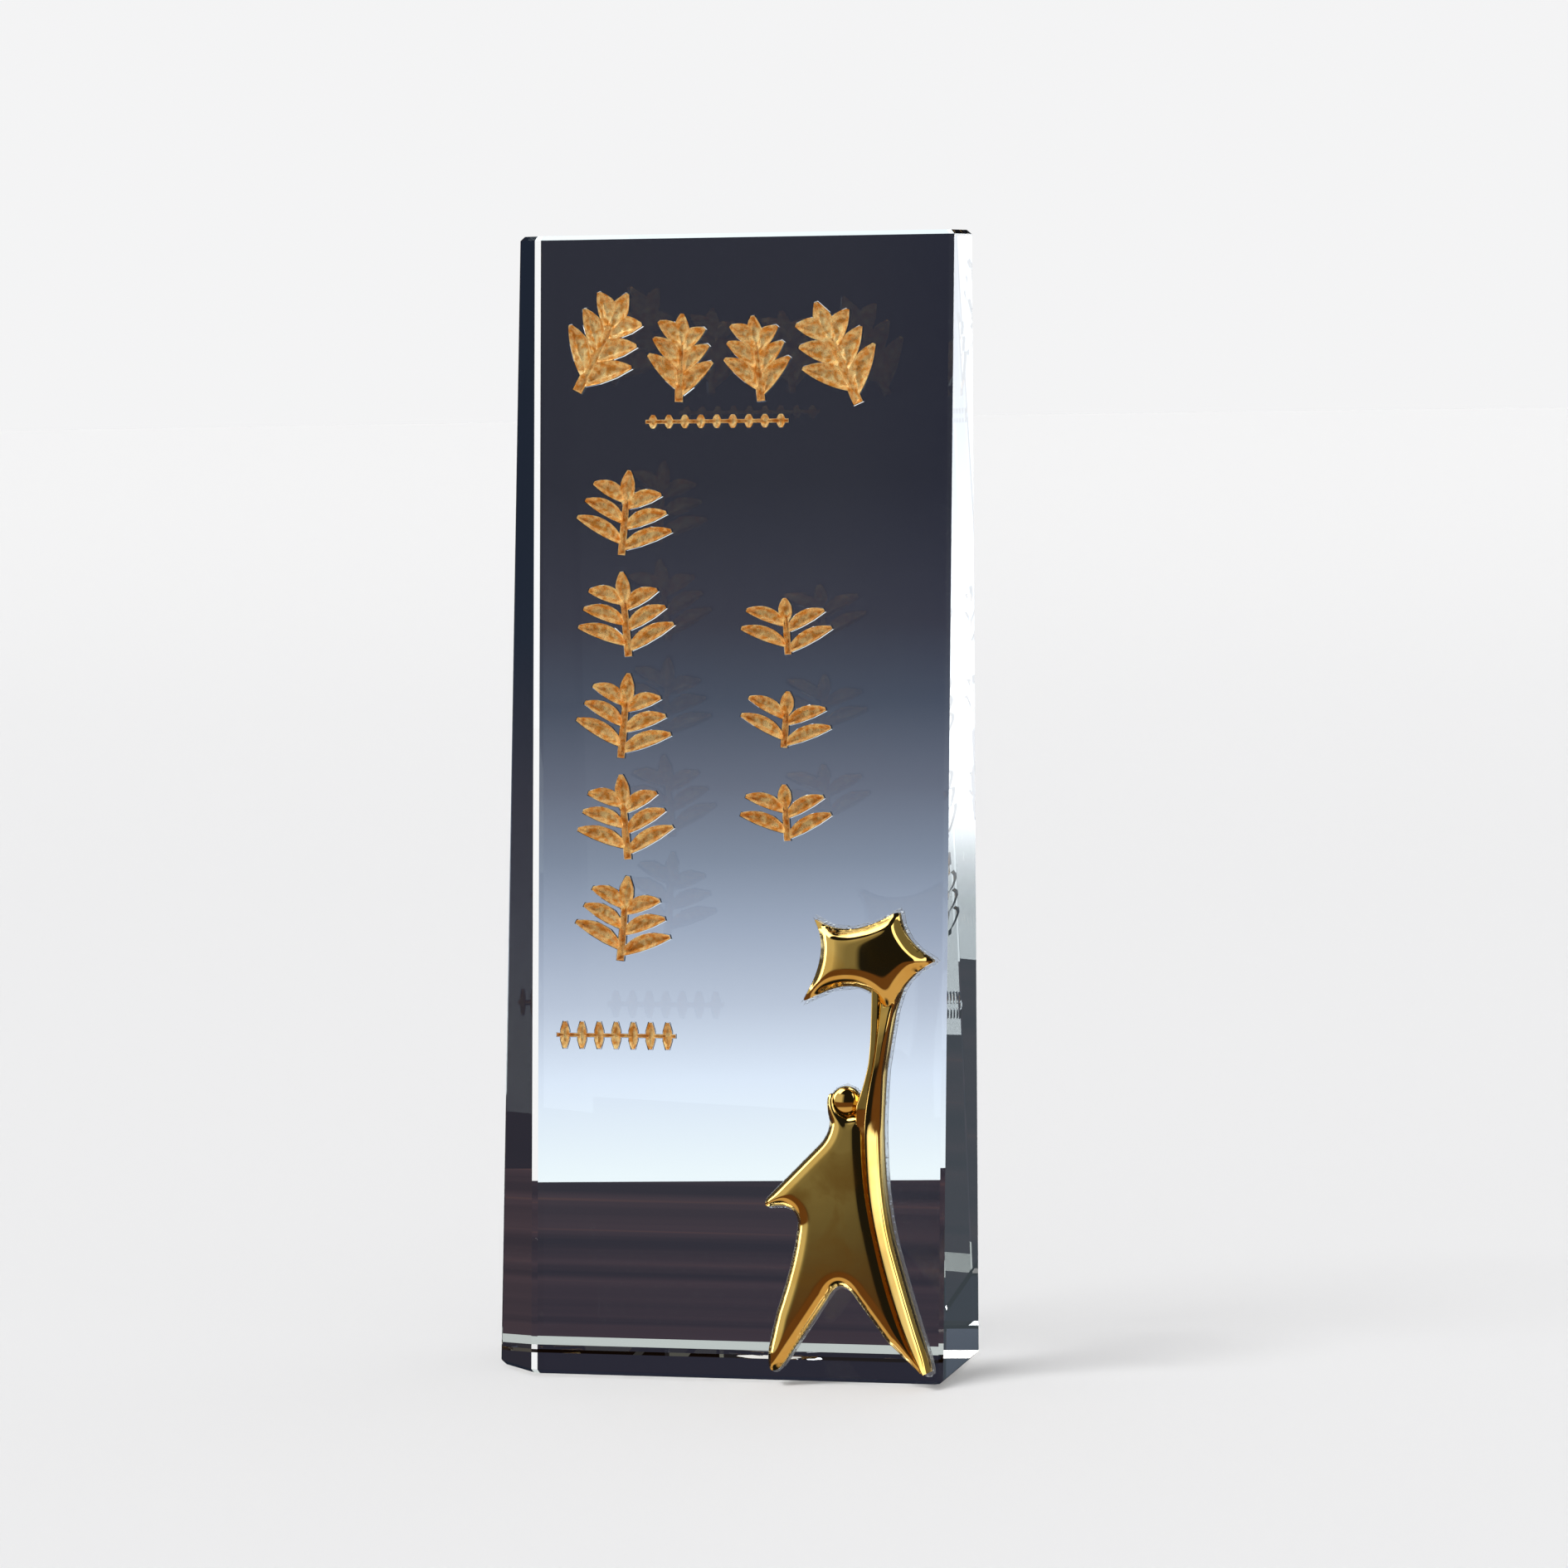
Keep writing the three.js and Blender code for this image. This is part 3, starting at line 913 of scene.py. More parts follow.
@dataclass
class Relief:
    """A raised shape: an outline filled with a fine lattice and lifted by a height.

    Attributes:
        outline: The outline's points, in mm.
        height: Gives the heights over the rim at places.
        pitch: Lattice pitch.
        rim: Height of the upright wall at the outline.
        easing: How many times the lifted lattice is smoothed.
        phase: Where the first lattice line lies, in pitches before the outline's box.
        weld: Lattice points nearer than this are merged.
    """

    outline: list[Vector]
    height: Height
    pitch: float = 0.24
    rim: float = 0.8
    easing: int = 4
    phase: float = 0.47
    weld: float = 0.03

    def build(self) -> Shape:
        """Builds the relief on the plane z = 0.

        Returns:
            One closed shape.
        """
        bm = bmesh.new()
        bm.faces.new([bm.verts.new((p.x, p.y, 0)) for p in self.outline])
        low = [min(p[i] for p in self.outline) for i in (0, 1)]
        high = [max(p[i] for p in self.outline) for i in (0, 1)]
        for axis, normal in enumerate(((1, 0, 0), (0, 1, 0))):
            for i in range(1, int((high[axis] - low[axis]) / self.pitch) + 1):
                at = [0.0, 0.0, 0.0]
                at[axis] = low[axis] + (i - self.phase) * self.pitch
                everything = bm.verts[:] + bm.edges[:] + bm.faces[:]
                bmesh.ops.bisect_plane(bm, geom=everything, dist=1e-5, plane_co=at, plane_no=normal)
        bmesh.ops.remove_doubles(bm, verts=bm.verts, dist=self.weld)
        bmesh.ops.triangulate(bm, faces=[f for f in bm.faces if len(f.verts) > 4])
        edge = [e for e in bm.edges if e.is_boundary]
        self.lift(bm)
        grown = bmesh.ops.extrude_edge_only(bm, edges=edge)["geom"]
        for vert in grown:
            if isinstance(vert, bmesh.types.BMVert):
                vert.co.z = 0.0
        bmesh.ops.holes_fill(bm, edges=[e for e in bm.edges if e.is_boundary], sides=0)
        bmesh.ops.recalc_face_normals(bm, faces=bm.faces)
        return bm

    def lift(self, bm: Shape) -> None:
        """Lifts the flat lattice to its heights and eases the ridges.

        Args:
            bm: The lattice.
        """
        places = np.array([(v.co.x, v.co.y) for v in bm.verts])
        for vert, z in zip(bm.verts, self.rim + self.height(places)):
            vert.co.z = z
        inner = [v for v in bm.verts if not v.is_boundary]
        for _ in range(self.easing):
            bmesh.ops.smooth_vert(bm, verts=inner, factor=0.5, use_axis_z=True)


@dataclass
class Band:
    """A long raised shape between two edges, with its own section at each station.

    Attributes:
        left: Points of its left edge.
        right: Points of its right edge.
        section: Gives the heights across it from the shares across, its width there and its place along.
        shares: Where across it the section is taken.
        stations: How many sections it has.
    """

    left: list[Vector]
    right: list[Vector]
    section: Section
    shares: np.ndarray
    stations: int = 90

    def build(self) -> Shape:
        """Builds the band on the plane z = 0, one section after the other.

        Returns:
            One closed shape.
        """
        bm = bmesh.new()
        row: list[bmesh.types.BMVert] = []
        edges: list[bmesh.types.BMEdge] = []
        for left, right in zip(spaced(self.left, self.stations), spaced(self.right, self.stations)):
            heights = self.section(self.shares, (right - left).length, (left.y + right.y) / 2)
            spots = [Vector((*left.lerp(right, u), z)) for u, z in zip(self.shares, heights)]
            spots = [Vector((left.x, left.y, 0)), *spots, Vector((right.x, right.y, 0))]
            if not row:
                row = [bm.verts.new(spot) for spot in spots]
                edges = [bm.edges.new(pair) for pair in zip(row, row[1:] + row[:1])]
                bm.faces.new(row)
                continue
            grown = bmesh.ops.extrude_edge_only(bm, edges=edges)["geom"]
            fresh = {v.co.copy().freeze(): v for v in grown if isinstance(v, bmesh.types.BMVert)}
            row = [fresh[v.co.copy().freeze()] for v in row]
            for vert, spot in zip(row, spots):
                vert.co = spot
            edges = [bm.edges.get(pair) for pair in zip(row, row[1:] + row[:1])]
        bm.faces.new(row)
        bmesh.ops.recalc_face_normals(bm, faces=bm.faces)
        return bm


@dataclass(frozen=True)
class RibbonForm:
    """The ribbon's cross-section, in mm: crested on the body and a plain rounded bar on the arm.

    Attributes:
        rim: Height of its right edge, and of both edges on the arm.
        flank_foot: Height of its left edge on the body.
        flank_rise: How far the steep left flank rises.
        flank_round: Width of the flank's rounding.
        slope_rise: How far the right slope rises at its edge.
        slope_round: Width of that rounding.
        slope_start: Where the long slope to the crest starts, from the right edge.
        slope_pitch: How steep the long slope is.
        crest_round: Rounding of the crest.
        bar_rise: How far the bar rises on the arm.
        bar_round: Width of the bar's right rounding.
        bar_dip: How much lower the bar is under the star.
        arm: Where along the figure the crest gives way to the bar.
        star: Where along the figure the bar dips under the star.
    """

    rim: float = 0.8
    flank_foot: float = 1.5
    flank_rise: float = 3.1
    flank_round: float = 0.6
    slope_rise: float = 2.5
    slope_round: float = 1.35
    slope_start: float = 1.1
    slope_pitch: float = 0.62
    crest_round: float = 0.12
    bar_rise: float = 2.9
    bar_round: float = 1.2
    bar_dip: float = 1.2
    arm: Span = (46.0, 60.0)
    star: Span = (64.0, 74.0)

    def heights(self, share: np.ndarray, width: float, y: float) -> np.ndarray:
        """Works out the heights across the ribbon.

        Args:
            share: Places across it, 0 at its left edge and 1 at its right edge.
            width: Its width there.
            y: Its place along the figure.

        Returns:
            The heights over the casting's back.
        """
        arm = float(ease(np.array(y), *self.arm))
        under = float(ease(np.array(y), *self.star))
        to_left, to_right = share * width, (1 - share) * width
        flank = self.flank_foot + self.flank_rise * shoulder(to_left, self.flank_round)
        slope = self.rim + self.slope_rise * shoulder(to_right, self.slope_round)
        slope += self.slope_pitch * np.maximum(to_right - self.slope_start, 0)
        rounded = np.minimum(shoulder(to_left, self.flank_round), shoulder(to_right, self.bar_round))
        bar = self.rim + (self.bar_rise - self.bar_dip * under) * rounded
        crest = -self.crest_round * np.logaddexp(-flank / self.crest_round, -slope / self.crest_round)
        return crest * (1 - arm) + bar * arm


@dataclass
class CastFigure:
    """The gilt casting: a round-headed figure with one arm raised into a star.

    Attributes:
        face: The face that it is glued to.
        left: Place of the figure's left hand on the face.
        bottom: Place of its toes on the face.
        seat: Height of the casting's back over the face.
        body_rise: How far the body's plateau rises over its wall.
        body_shoulder: Width of the body's rounded shoulder.
        strand_rise: How far the arm's left strand rises over its wall.
        strand_drop: How much lower the strand starts in the shoulder.
        strand_round: Widths of the strand's left and right rounding.
        star_rise: How far the star's plateau rises over its wall.
        star_dome: How much higher the middle of the plateau is.
        star_shoulder: Width of the star's rounded shoulder.
        toe: How far the shoulders already are in at the outline.
        dome_centre: Middle of the star's dome.
        dome_reach: Radius of the star's dome.
        tip_round: How much of a side a rounded tip of the star takes.
        side_steps: Points along a side of the star.
        tip_steps: Points round a tip of the star.
        head_centre: Middle of the head.
        head_radius: Radius of the head.
        head_rise: How far the head rises over its wall.
        head_steps: Points round the head.
        wall: Height of the upright wall round each part.
        groove: How far the body starts to the right of the ribbon's left edge.
    """

    face: FrontFace
    left: float = 46.6
    bottom: float = 1.8
    seat: float = 0.8
    body_rise: float = 2.7
    body_shoulder: float = 2.4
    strand_rise: float = 3.0
    strand_drop: float = 1.2
    strand_round: Span = (0.45, 0.3)
    star_rise: float = 3.2
    star_dome: float = 1.1
    star_shoulder: float = 2.3
    toe: float = 0.15
    dome_centre: Point = (18.6, 77.8)
    dome_reach: float = 13.0
    tip_round: float = 0.07
    side_steps: int = 28
    tip_steps: int = 6
    head_centre: Point = (15.9, 52.2)
    head_radius: float = 2.95
    head_rise: float = 2.0
    head_steps: int = 48
    wall: float = 0.8
    groove: float = 0.5

    def place(self) -> Matrix:
        """The transform from the figure's drawing to the row frame."""
        return self.face.matrix() @ Matrix.Translation((self.left, self.bottom, self.seat))

    def ribbon_left(self) -> list[Vector]:
        """Draws the ribbon's left edge.

        Returns:
            Its points, from under the star to the right foot.
        """
        return traced([
            (22.6, 76.0), (22.7, 66.0, 21.5, 59.0), (20.2, 52.5, 20.0, 48.0), (19.9, 36.5, 22.4, 26.3),
            (24.3, 17.6, 26.8, 10.9), (28.9, 5.2, 31.5, 0.4),
        ])

    def ribbon_right(self) -> list[Vector]:
        """Draws the ribbon's right edge.

        Returns:
            Its points, from under the star to the right foot.
        """
        return traced([
            (28.2, 76.6), (26.5, 72.6, 25.7, 69.6), (24.9, 65.1, 23.9, 58.4), (23.3, 50.0, 23.4, 46.0),
            (23.6, 33.8, 25.8, 25.0), (28.6, 15.0, 31.2, 7.2), (32.8, 2.6, 32.9, 1.0),
        ])

    def ribbon(self) -> Shape:
        """Builds the ribbon, with its stations across closer together at the crest.

        Returns:
            One closed shape.
        """
        crest = 0.3
        shares = np.concatenate((np.linspace(0, crest, 13)[:-1], np.linspace(crest, 1, 19)))
        return Band(self.ribbon_left(), self.ribbon_right(), RibbonForm().heights, shares).build()

    def strand(self) -> Shape:
        """Builds the arm's left strand, which grows out of the shoulder beside the ribbon.

        Returns:
            One closed shape.
        """
        left = traced([
            (18.4, 42.0), (18.0, 47.0, 18.3, 51.6), (19.8, 55.4, 20.6, 59.5), (21.2, 64.0, 21.2, 75.6),
        ])
        right = traced([(20.6, 42.0), (20.6, 52.5, 22.0, 59.0), (23.2, 66.0, 23.1, 76.0)])

        def section(share: np.ndarray, width: float, y: float) -> np.ndarray:
            """Gives the heights across the strand at one station."""
            rise = self.strand_rise - self.strand_drop
            rise += self.strand_drop * float(ease(np.array(y), 43, 51))
            on_left, on_right = self.strand_round
            sides = shoulder(share * width, on_left) * shoulder((1 - share) * width, on_right)
            return self.wall + rise * sides

        return Band(left, right, section, np.linspace(0, 1, 23)).build()

    def body_outline(self) -> list[Vector]:
        """Draws the torso, left arm, left leg and the inside of the right leg.

        Returns:
            The outline's points.
        """
        under = [p + Vector((self.groove, 0.0)) for p in self.ribbon_left() if p.y < 50]
        return traced([(16.5, 49.7), (18.4, 50.0)]) + under[:-1] + traced([
            (30.9, 0.5), (24.6, 6.3), (18.4, 14.4), (15.0, 19.6, 12.2, 14.2), (5.0, 3.4),
            (3.2, 0.6, 2.2, 0.4), (0.6, 0.2, 1.1, 4.7), (2.7, 11.7), (6.4, 22.5, 6.8, 29.0),
            (6.2, 32.9, 1.2, 31.9), (-0.3, 31.8, 0.6, 33.4), (11.0, 43.9), (12.9, 45.9, 13.0, 48.4),
            (12.2, 51.2, 12.5, 52.6), (12.7, 54.0, 13.5, 53.7), (14.0, 53.3, 14.1, 52.0),
            (14.8, 50.2, 16.5, 49.7),
        ])[:-1]

    def body(self) -> Shape:
        """Builds the body, a smooth plateau with rounded shoulders that dips under the ribbon.

        Returns:
            One closed shape.
        """
        outline = self.body_outline()

        def height(places: np.ndarray) -> np.ndarray:
            """Gives the body's heights over its wall."""
            inside = nearest(places, outline, closed=True) + self.toe
            return self.body_rise * shoulder(inside, self.body_shoulder)

        return Relief(outline, height, rim=self.wall, easing=10).build()

    def star_outline(self) -> list[Vector]:
        """Draws five blunt tips joined by hollow sides.

        Returns:
            The outline's points.
        """
        tips = [(9.6, 87.4), (26.4, 88.9), (33.6, 79.3), (24.6, 68.2), (7.2, 70.9)]
        bends = [(16.0, 82.4), (26.7, 82.7), (26.9, 76.6), (20.9, 79.0), (13.9, 80.8)]
        runs = [[tips[i], (*bends[i], *tips[(i + 1) % 5])] for i in range(5)]
        sides = [traced(run, self.side_steps) for run in runs]
        cut = round(self.tip_round * self.side_steps)
        points: list[Vector] = []
        for i, side in enumerate(sides):
            before = sides[i - 1][-1 - cut]
            points += bend(before, Vector(tips[i]), side[cut], self.tip_steps)
            points += side[cut + 1:-1 - cut]
        return points

    def star(self) -> Shape:
        """Builds the star, a slightly domed plateau with broad rounded shoulders.

        Returns:
            One closed shape.
        """
        outline = self.star_outline()
        centre = np.array(self.dome_centre)

        def height(places: np.ndarray) -> np.ndarray:
            """Gives the star's heights over its wall."""
            off = np.linalg.norm(places - centre, axis=1)
            dome = self.star_dome * np.clip(1 - (off / self.dome_reach) ** 2, 0, 1)
            inside = nearest(places, outline, closed=True) + self.toe
            return self.star_rise * shoulder(inside, self.star_shoulder) + dome

        return Relief(outline, height, rim=self.wall, easing=60).build()

    def head(self) -> Shape:
        """Builds the head, a plain dome without a face.

        Returns:
            One closed shape.
        """
        turns = [2 * math.pi * i / self.head_steps for i in range(self.head_steps)]
        centre = Vector(self.head_centre)
        outline = [centre + self.head_radius * Vector((math.cos(a), math.sin(a))) for a in turns]

        def height(places: np.ndarray) -> np.ndarray:
            """Gives the head's heights over its wall."""
            off = np.linalg.norm(places - np.array(self.head_centre), axis=1)
            share = np.clip(off / self.head_radius, 0, 1)
            return self.head_rise * np.sqrt(1 - share ** 2)

        return Relief(outline, height, pitch=0.16, rim=self.wall, easing=1).build()

    def build(self) -> None:
        """Makes the casting as one closed metal piece."""
        parts = [self.body(), self.strand(), self.ribbon(), self.star(), self.head()]
        whole = bmesh.new()
        whole.from_mesh(united(parts))
        LOG.info("figure_gilt_casting: %d faces", len(whole.faces))
        made = piece("figure_gilt_casting", whole, self.place(), GiltMetal())
        shade(made.data, 50)
        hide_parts("figure_casting")


# ---------------------------------------------------------------- studio


@dataclass(frozen=True)
class Panel:
    """A soft panel of light around the trophy, seen only in reflections.

    Attributes:
        azimuth: Its two sides, in degrees from straight ahead of the trophy, right positive.
        elevation: Its foot and top, in degrees.
        colour: Its light.
        soft: How many degrees its edges fade over.
    """

    azimuth: Span
    elevation: Span
    colour: Colour
    soft: float = 5.0


@dataclass
class Studio:
    """Floor, backdrop, lights and camera.

    Attributes:
        camera_place: Where the camera stands.
        camera_azimuth: How far it is turned to the left, in degrees.
        camera_dip: How far it looks down, in degrees.
        camera_roll: How far it is rolled, in degrees.
        lens: Its focal length in mm.
        sensor: Its sensor's width in mm.
        backdrop_distance: How far off the curtain hangs.
        curtain_height: Height at which the curtain's colours start and end, below and above the base.
        floor_radius: Radius of the floor.
        floor_drop: How far the floor lies under the base.
        table_edge: How far behind the trophy the table ends.
        table_turn: How far the table is turned, in degrees.
        table_drop: How far the table lies under the base.
        strip_width: Width of the glowing strip behind the foot that paints the bright base line.
        strip_drop: How far that strip lies under the base.
    """

    camera_place: tuple[float, float, float] = (0.2893, -1.1310, 0.2084)
    camera_azimuth: float = 13.79
    camera_dip: float = 4.64
    camera_roll: float = -0.86
    lens: float = 138.95
    sensor: float = 36.0
    backdrop_distance: float = 1.0
    curtain_height: float = 0.2
    floor_radius: float = 9.0
    floor_drop: float = 0.0006
    table_edge: float = 0.2
    table_turn: float = 8.5
    table_drop: float = 0.0003
    strip_width: float = 0.012
    strip_drop: float = 0.0002

    def camera(self) -> None:
        """Sets up a long lens a little to the right of the trophy, level with its top."""
        data = bpy.data.cameras.new("camera")
        data.lens = self.lens
        data.sensor_width = self.sensor
        data.clip_end = 50
        made = bpy.data.objects.new("camera", data)
        turn = Matrix.Rotation(math.radians(self.camera_azimuth), 4, "Z")
        tip = Matrix.Rotation(math.radians(90 - self.camera_dip), 4, "X")
        roll = Matrix.Rotation(math.radians(self.camera_roll), 4, "Z")
        made.matrix_world = Matrix.Translation(self.camera_place) @ turn @ tip @ roll
        bpy.context.scene.collection.objects.link(made)
        bpy.context.scene.camera = made

    def matt(self, name: str, colour: Colour) -> bpy.types.Material:
        """Makes a plain matt material.

        Args:
            name: Its name.
            colour: Its colour.

        Returns:
            The material.
        """
        made = bpy.data.materials.new(name)
        made.use_nodes = True
        shader = made.node_tree.nodes["Principled BSDF"]
        shader.inputs["Base Color"].default_value = (*colour, 1.0)
        shader.inputs["Roughness"].default_value = 0.9
        shader.inputs["Specular IOR Level"].default_value = 0.1
        return made

    def glow(self, name: str) -> tuple[bpy.types.Material, bpy.types.Node]:
        """Makes a material that only gives light.

        Args:
            name: Its name.

        Returns:
            The material and its shader.
        """
        made = bpy.data.materials.new(name)
        made.use_nodes = True
        tree = made.node_tree
        tree.nodes.remove(tree.nodes["Principled BSDF"])
        shader = node(tree, "Emission")
        link(tree, shader.outputs[0], tree.nodes["Material Output"].inputs["Surface"])
        return made, shader

    def staged(self, name: str, bm: Shape, material: bpy.types.Material, *kinds: str) -> None:
        """Links a piece of stage that only some kinds of ray see.

        Args:
            name: Its name.
            bm: Its shape, which is freed.
            material: Its material.
            *kinds: The kinds of ray that see it.
        """
        mesh = bpy.data.meshes.new(name)
        bm.to_mesh(mesh)
        bm.free()
        mesh.materials.append(material)
        made = bpy.data.objects.new(name, mesh)
        bpy.context.scene.collection.objects.link(made)
        for kind in ("camera", "diffuse", "glossy", "transmission", "volume_scatter", "shadow"):
            setattr(made, f"visible_{kind}", kind in kinds)

    def floor(self) -> None:
        """Lays a wide pale floor."""
        bm = bmesh.new()
        bmesh.ops.create_circle(bm, cap_ends=True, segments=96, radius=self.floor_radius)
        bmesh.ops.translate(bm, vec=(0, 0, -self.floor_drop), verts=bm.verts)
        self.staged("floor", bm, self.matt("floor", (0.84, 0.84, 0.84)), "camera", "diffuse", "shadow")

    @staticmethod
    def rectangle(width: float, depth: float) -> Shape:
        """Makes a flat rectangle about the origin.

        Args:
            width: Its width.
            depth: Its depth.

        Returns:
            The rectangle.
        """
        bm = bmesh.new()
        bmesh.ops.create_grid(bm, x_segments=1, y_segments=1, size=0.5)
        bmesh.ops.scale(bm, vec=(width, depth, 1), verts=bm.verts)
        return bm

    def table(self) -> None:
        """A dark wooden table top, seen only through the glass; it glows with its lit look painted into
        its colour instead of being lit, and its streaks are wood grain.
        """
        material, shader = self.glow("table")
        tree = material.node_tree
        place = node(tree, "TexCoord")
        stretch = node(tree, "Mapping", vector_type="TEXTURE")
        stretch.inputs["Scale"].default_value = (1.1, 0.022, 1.0)
        grain = node(tree, "TexNoise", noise_dimensions="3D")
        grain.inputs["Scale"].default_value = 1.0
        grain.inputs["Detail"].default_value = 4.0
        link(tree, place.outputs["Object"], stretch.inputs["Vector"])
        link(tree, stretch.outputs["Vector"], grain.inputs["Vector"])
        streak = spread(tree, grain.outputs["Fac"], 0.38, 0.66, 0.0, 1.0)
        rust = spread(tree, grain.outputs["Fac"], 0.60, 0.68, 0.0, 1.0)
        # painted light: these glowing dark tones are the table's lit look, not light from the lamps; the
        # streak and rust masks are its grain
        wood = mix(tree, streak, (0.028, 0.027, 0.040), (0.058, 0.043, 0.056))
        link(tree, mix(tree, rust, wood, (0.115, 0.060, 0.052)), shader.inputs["Color"])
        bm = self.rectangle(1.0, 2 * self.table_edge)
        turn = Matrix.Rotation(math.radians(self.table_turn), 3, "Z")
        bmesh.ops.rotate(bm, matrix=turn, verts=bm.verts)
        bmesh.ops.translate(bm, vec=(0, 0, -self.table_drop), verts=bm.verts)
        self.staged("table", bm, material, "transmission")

    def foot_strip(self) -> None:
        """A glowing strip behind the block's foot, seen only through the glass: a painted highlight that
        draws the bright base line.
        """
        material, shader = self.glow("foot_strip")
        # painted highlight: the strip's glow, not a lamp, makes the bright line along the glass's foot
        shader.inputs["Color"].default_value = (0.55, 0.60, 0.58, 1.0)
        low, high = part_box("crystal_block")
        bm = self.rectangle(2 * (high.x - low.x), self.strip_width)
        place = (0, high.y + self.strip_width / 2, -self.strip_drop)
        bmesh.ops.translate(bm, vec=place, verts=bm.verts)
        self.staged("foot_strip", bm, material, "transmission")

    def turn(self) -> Matrix:
        """Gives the turn that squares the backdrop to the camera."""
        return Matrix.Rotation(math.radians(self.camera_azimuth), 3, "Z")

    def curtain(self) -> None:
        """A glowing backdrop on all sides, pale at its foot and navy above, seen only through the glass:
        the light on it is painted into its glow.
        """
        material, shader = self.glow("curtain")
        tree = material.node_tree
        place = node(tree, "TexCoord")
        split = node(tree, "SeparateXYZ")
        ramp = node(tree, "ValToRGB")
        link(tree, place.outputs["Object"], split.inputs[0])
        reach = self.curtain_height
        link(tree, spread(tree, split.outputs["Z"], -reach, reach, 0.0, 1.0), ramp.inputs["Fac"])
        # painted light: the backdrop glows with these colours instead of being lit by the lamps
        stops = (
            (-0.150, (0.92, 1.02, 1.06)), (-0.115, (0.75, 0.85, 0.99)), (-0.088, (0.50, 0.57, 0.70)),
            (-0.060, (0.33, 0.39, 0.51)), (-0.036, (0.205, 0.25, 0.335)), (-0.009, (0.122, 0.142, 0.196)),
            (0.021, (0.056, 0.070, 0.106)), (0.050, (0.034, 0.036, 0.056)), (0.100, (0.020, 0.022, 0.036)),
        )
        elements = ramp.color_ramp.elements
        elements.remove(elements[1])
        for i, (height, colour) in enumerate(stops):
            position = (height + reach) / (2 * reach)
            element = elements[0] if i == 0 else elements.new(position)
            element.position = position
            element.color = (*colour, 1.0)
        link(tree, ramp.outputs["Color"], shader.inputs["Color"])
        bm = bmesh.new()
        bmesh.ops.create_cube(bm, size=2 * self.backdrop_distance)
        bmesh.ops.delete(bm, geom=[f for f in bm.faces if abs(f.normal.z) > 0.5], context="FACES")
        bmesh.ops.rotate(bm, matrix=self.turn(), verts=bm.verts)
        self.staged("curtain", bm, material, "transmission")

    def card(self, name: str, azimuth: Span, height: Span, distance: float,
             colour: Colour) -> None:
        """A flat glowing card before the backdrop, seen only through the glass: a streak painted into what
        the glass shows, bright for a pale card and dark for a dark one.

        Args:
            name: The card's name.
            azimuth: Its two sides, in degrees from straight behind the trophy, right positive.
            height: Its foot and top.
            distance: How far away it stands.
            colour: Its light.
        """
        material, shader = self.glow(name)
        shader.inputs["Color"].default_value = (*colour, 1.0)
        middle, half = sum(azimuth) / 2, (azimuth[1] - azimuth[0]) / 2
        wide = 2 * distance * math.tan(math.radians(half))
        bm = self.rectangle(wide, height[1] - height[0])
        bmesh.ops.rotate(bm, matrix=Matrix.Rotation(math.pi / 2, 3, "X"), verts=bm.verts)
        bmesh.ops.translate(bm, vec=(0, distance, sum(height) / 2), verts=bm.verts)
        bmesh.ops.rotate(bm, matrix=Matrix.Rotation(-math.radians(middle), 3, "Z"), verts=bm.verts)
        self.staged(name, bm, material, "transmission")

    def sun(self, name: str, azimuth: float, elevation: float, strength: float, angle: float) -> None:
        """A large soft lamp far away, not seen in reflections.

        Args:
            name: The lamp's name.
            azimuth: Degrees from straight ahead of the trophy, right positive.
            elevation: Degrees above the floor.
            strength: Its strength.
            angle: Its apparent size in degrees.
        """
        data = bpy.data.lights.new(name, "SUN")
        data.energy = strength
        data.angle = math.radians(angle)
        made = bpy.data.objects.new(name, data)
        around, up = math.radians(azimuth), math.radians(elevation)
        towards = Vector((math.sin(around) * math.cos(up), -math.cos(around) * math.cos(up), math.sin(up)))
        made.rotation_euler = (-towards).to_track_quat("-Z", "Y").to_euler()
        made.visible_glossy = False
        made.visible_transmission = False
        bpy.context.scene.collection.objects.link(made)

    def window(self, tree: Tree, value: Socket, span: Span,
               soft: float) -> Socket:
        """Makes a mask that is 1 where a value lies in a span, with soft edges.

        Args:
            tree: The world's tree.
            value: The value's socket.
            span: The span, in degrees.
            soft: How many degrees each edge fades over.

        Returns:
            The mask's socket.
        """
        rise = spread(tree, value, span[0] - soft / 2, span[0] + soft / 2, 0.0, 1.0)
        fall = spread(tree, value, span[1] - soft / 2, span[1] + soft / 2, 1.0, 0.0)
        both = node(tree, "Math", operation="MULTIPLY")
        link(tree, rise, both.inputs[0])
        link(tree, fall, both.inputs[1])
        return both.outputs[0]

    def degrees(self, tree: Tree, operation: str,
                *values: Socket) -> Socket:
        """Works out an angle in degrees.

        Args:
            tree: The world's tree.
            operation: The inverse trigonometric function.
            *values: The function's values.

        Returns:
            The angle's socket.
        """
        angle = node(tree, "Math", operation=operation)
        for i, value in enumerate(values):
            link(tree, value, angle.inputs[i])
        turned = node(tree, "Math", operation="DEGREES")
        link(tree, angle.outputs[0], turned.inputs[0])
        return turned.outputs[0]

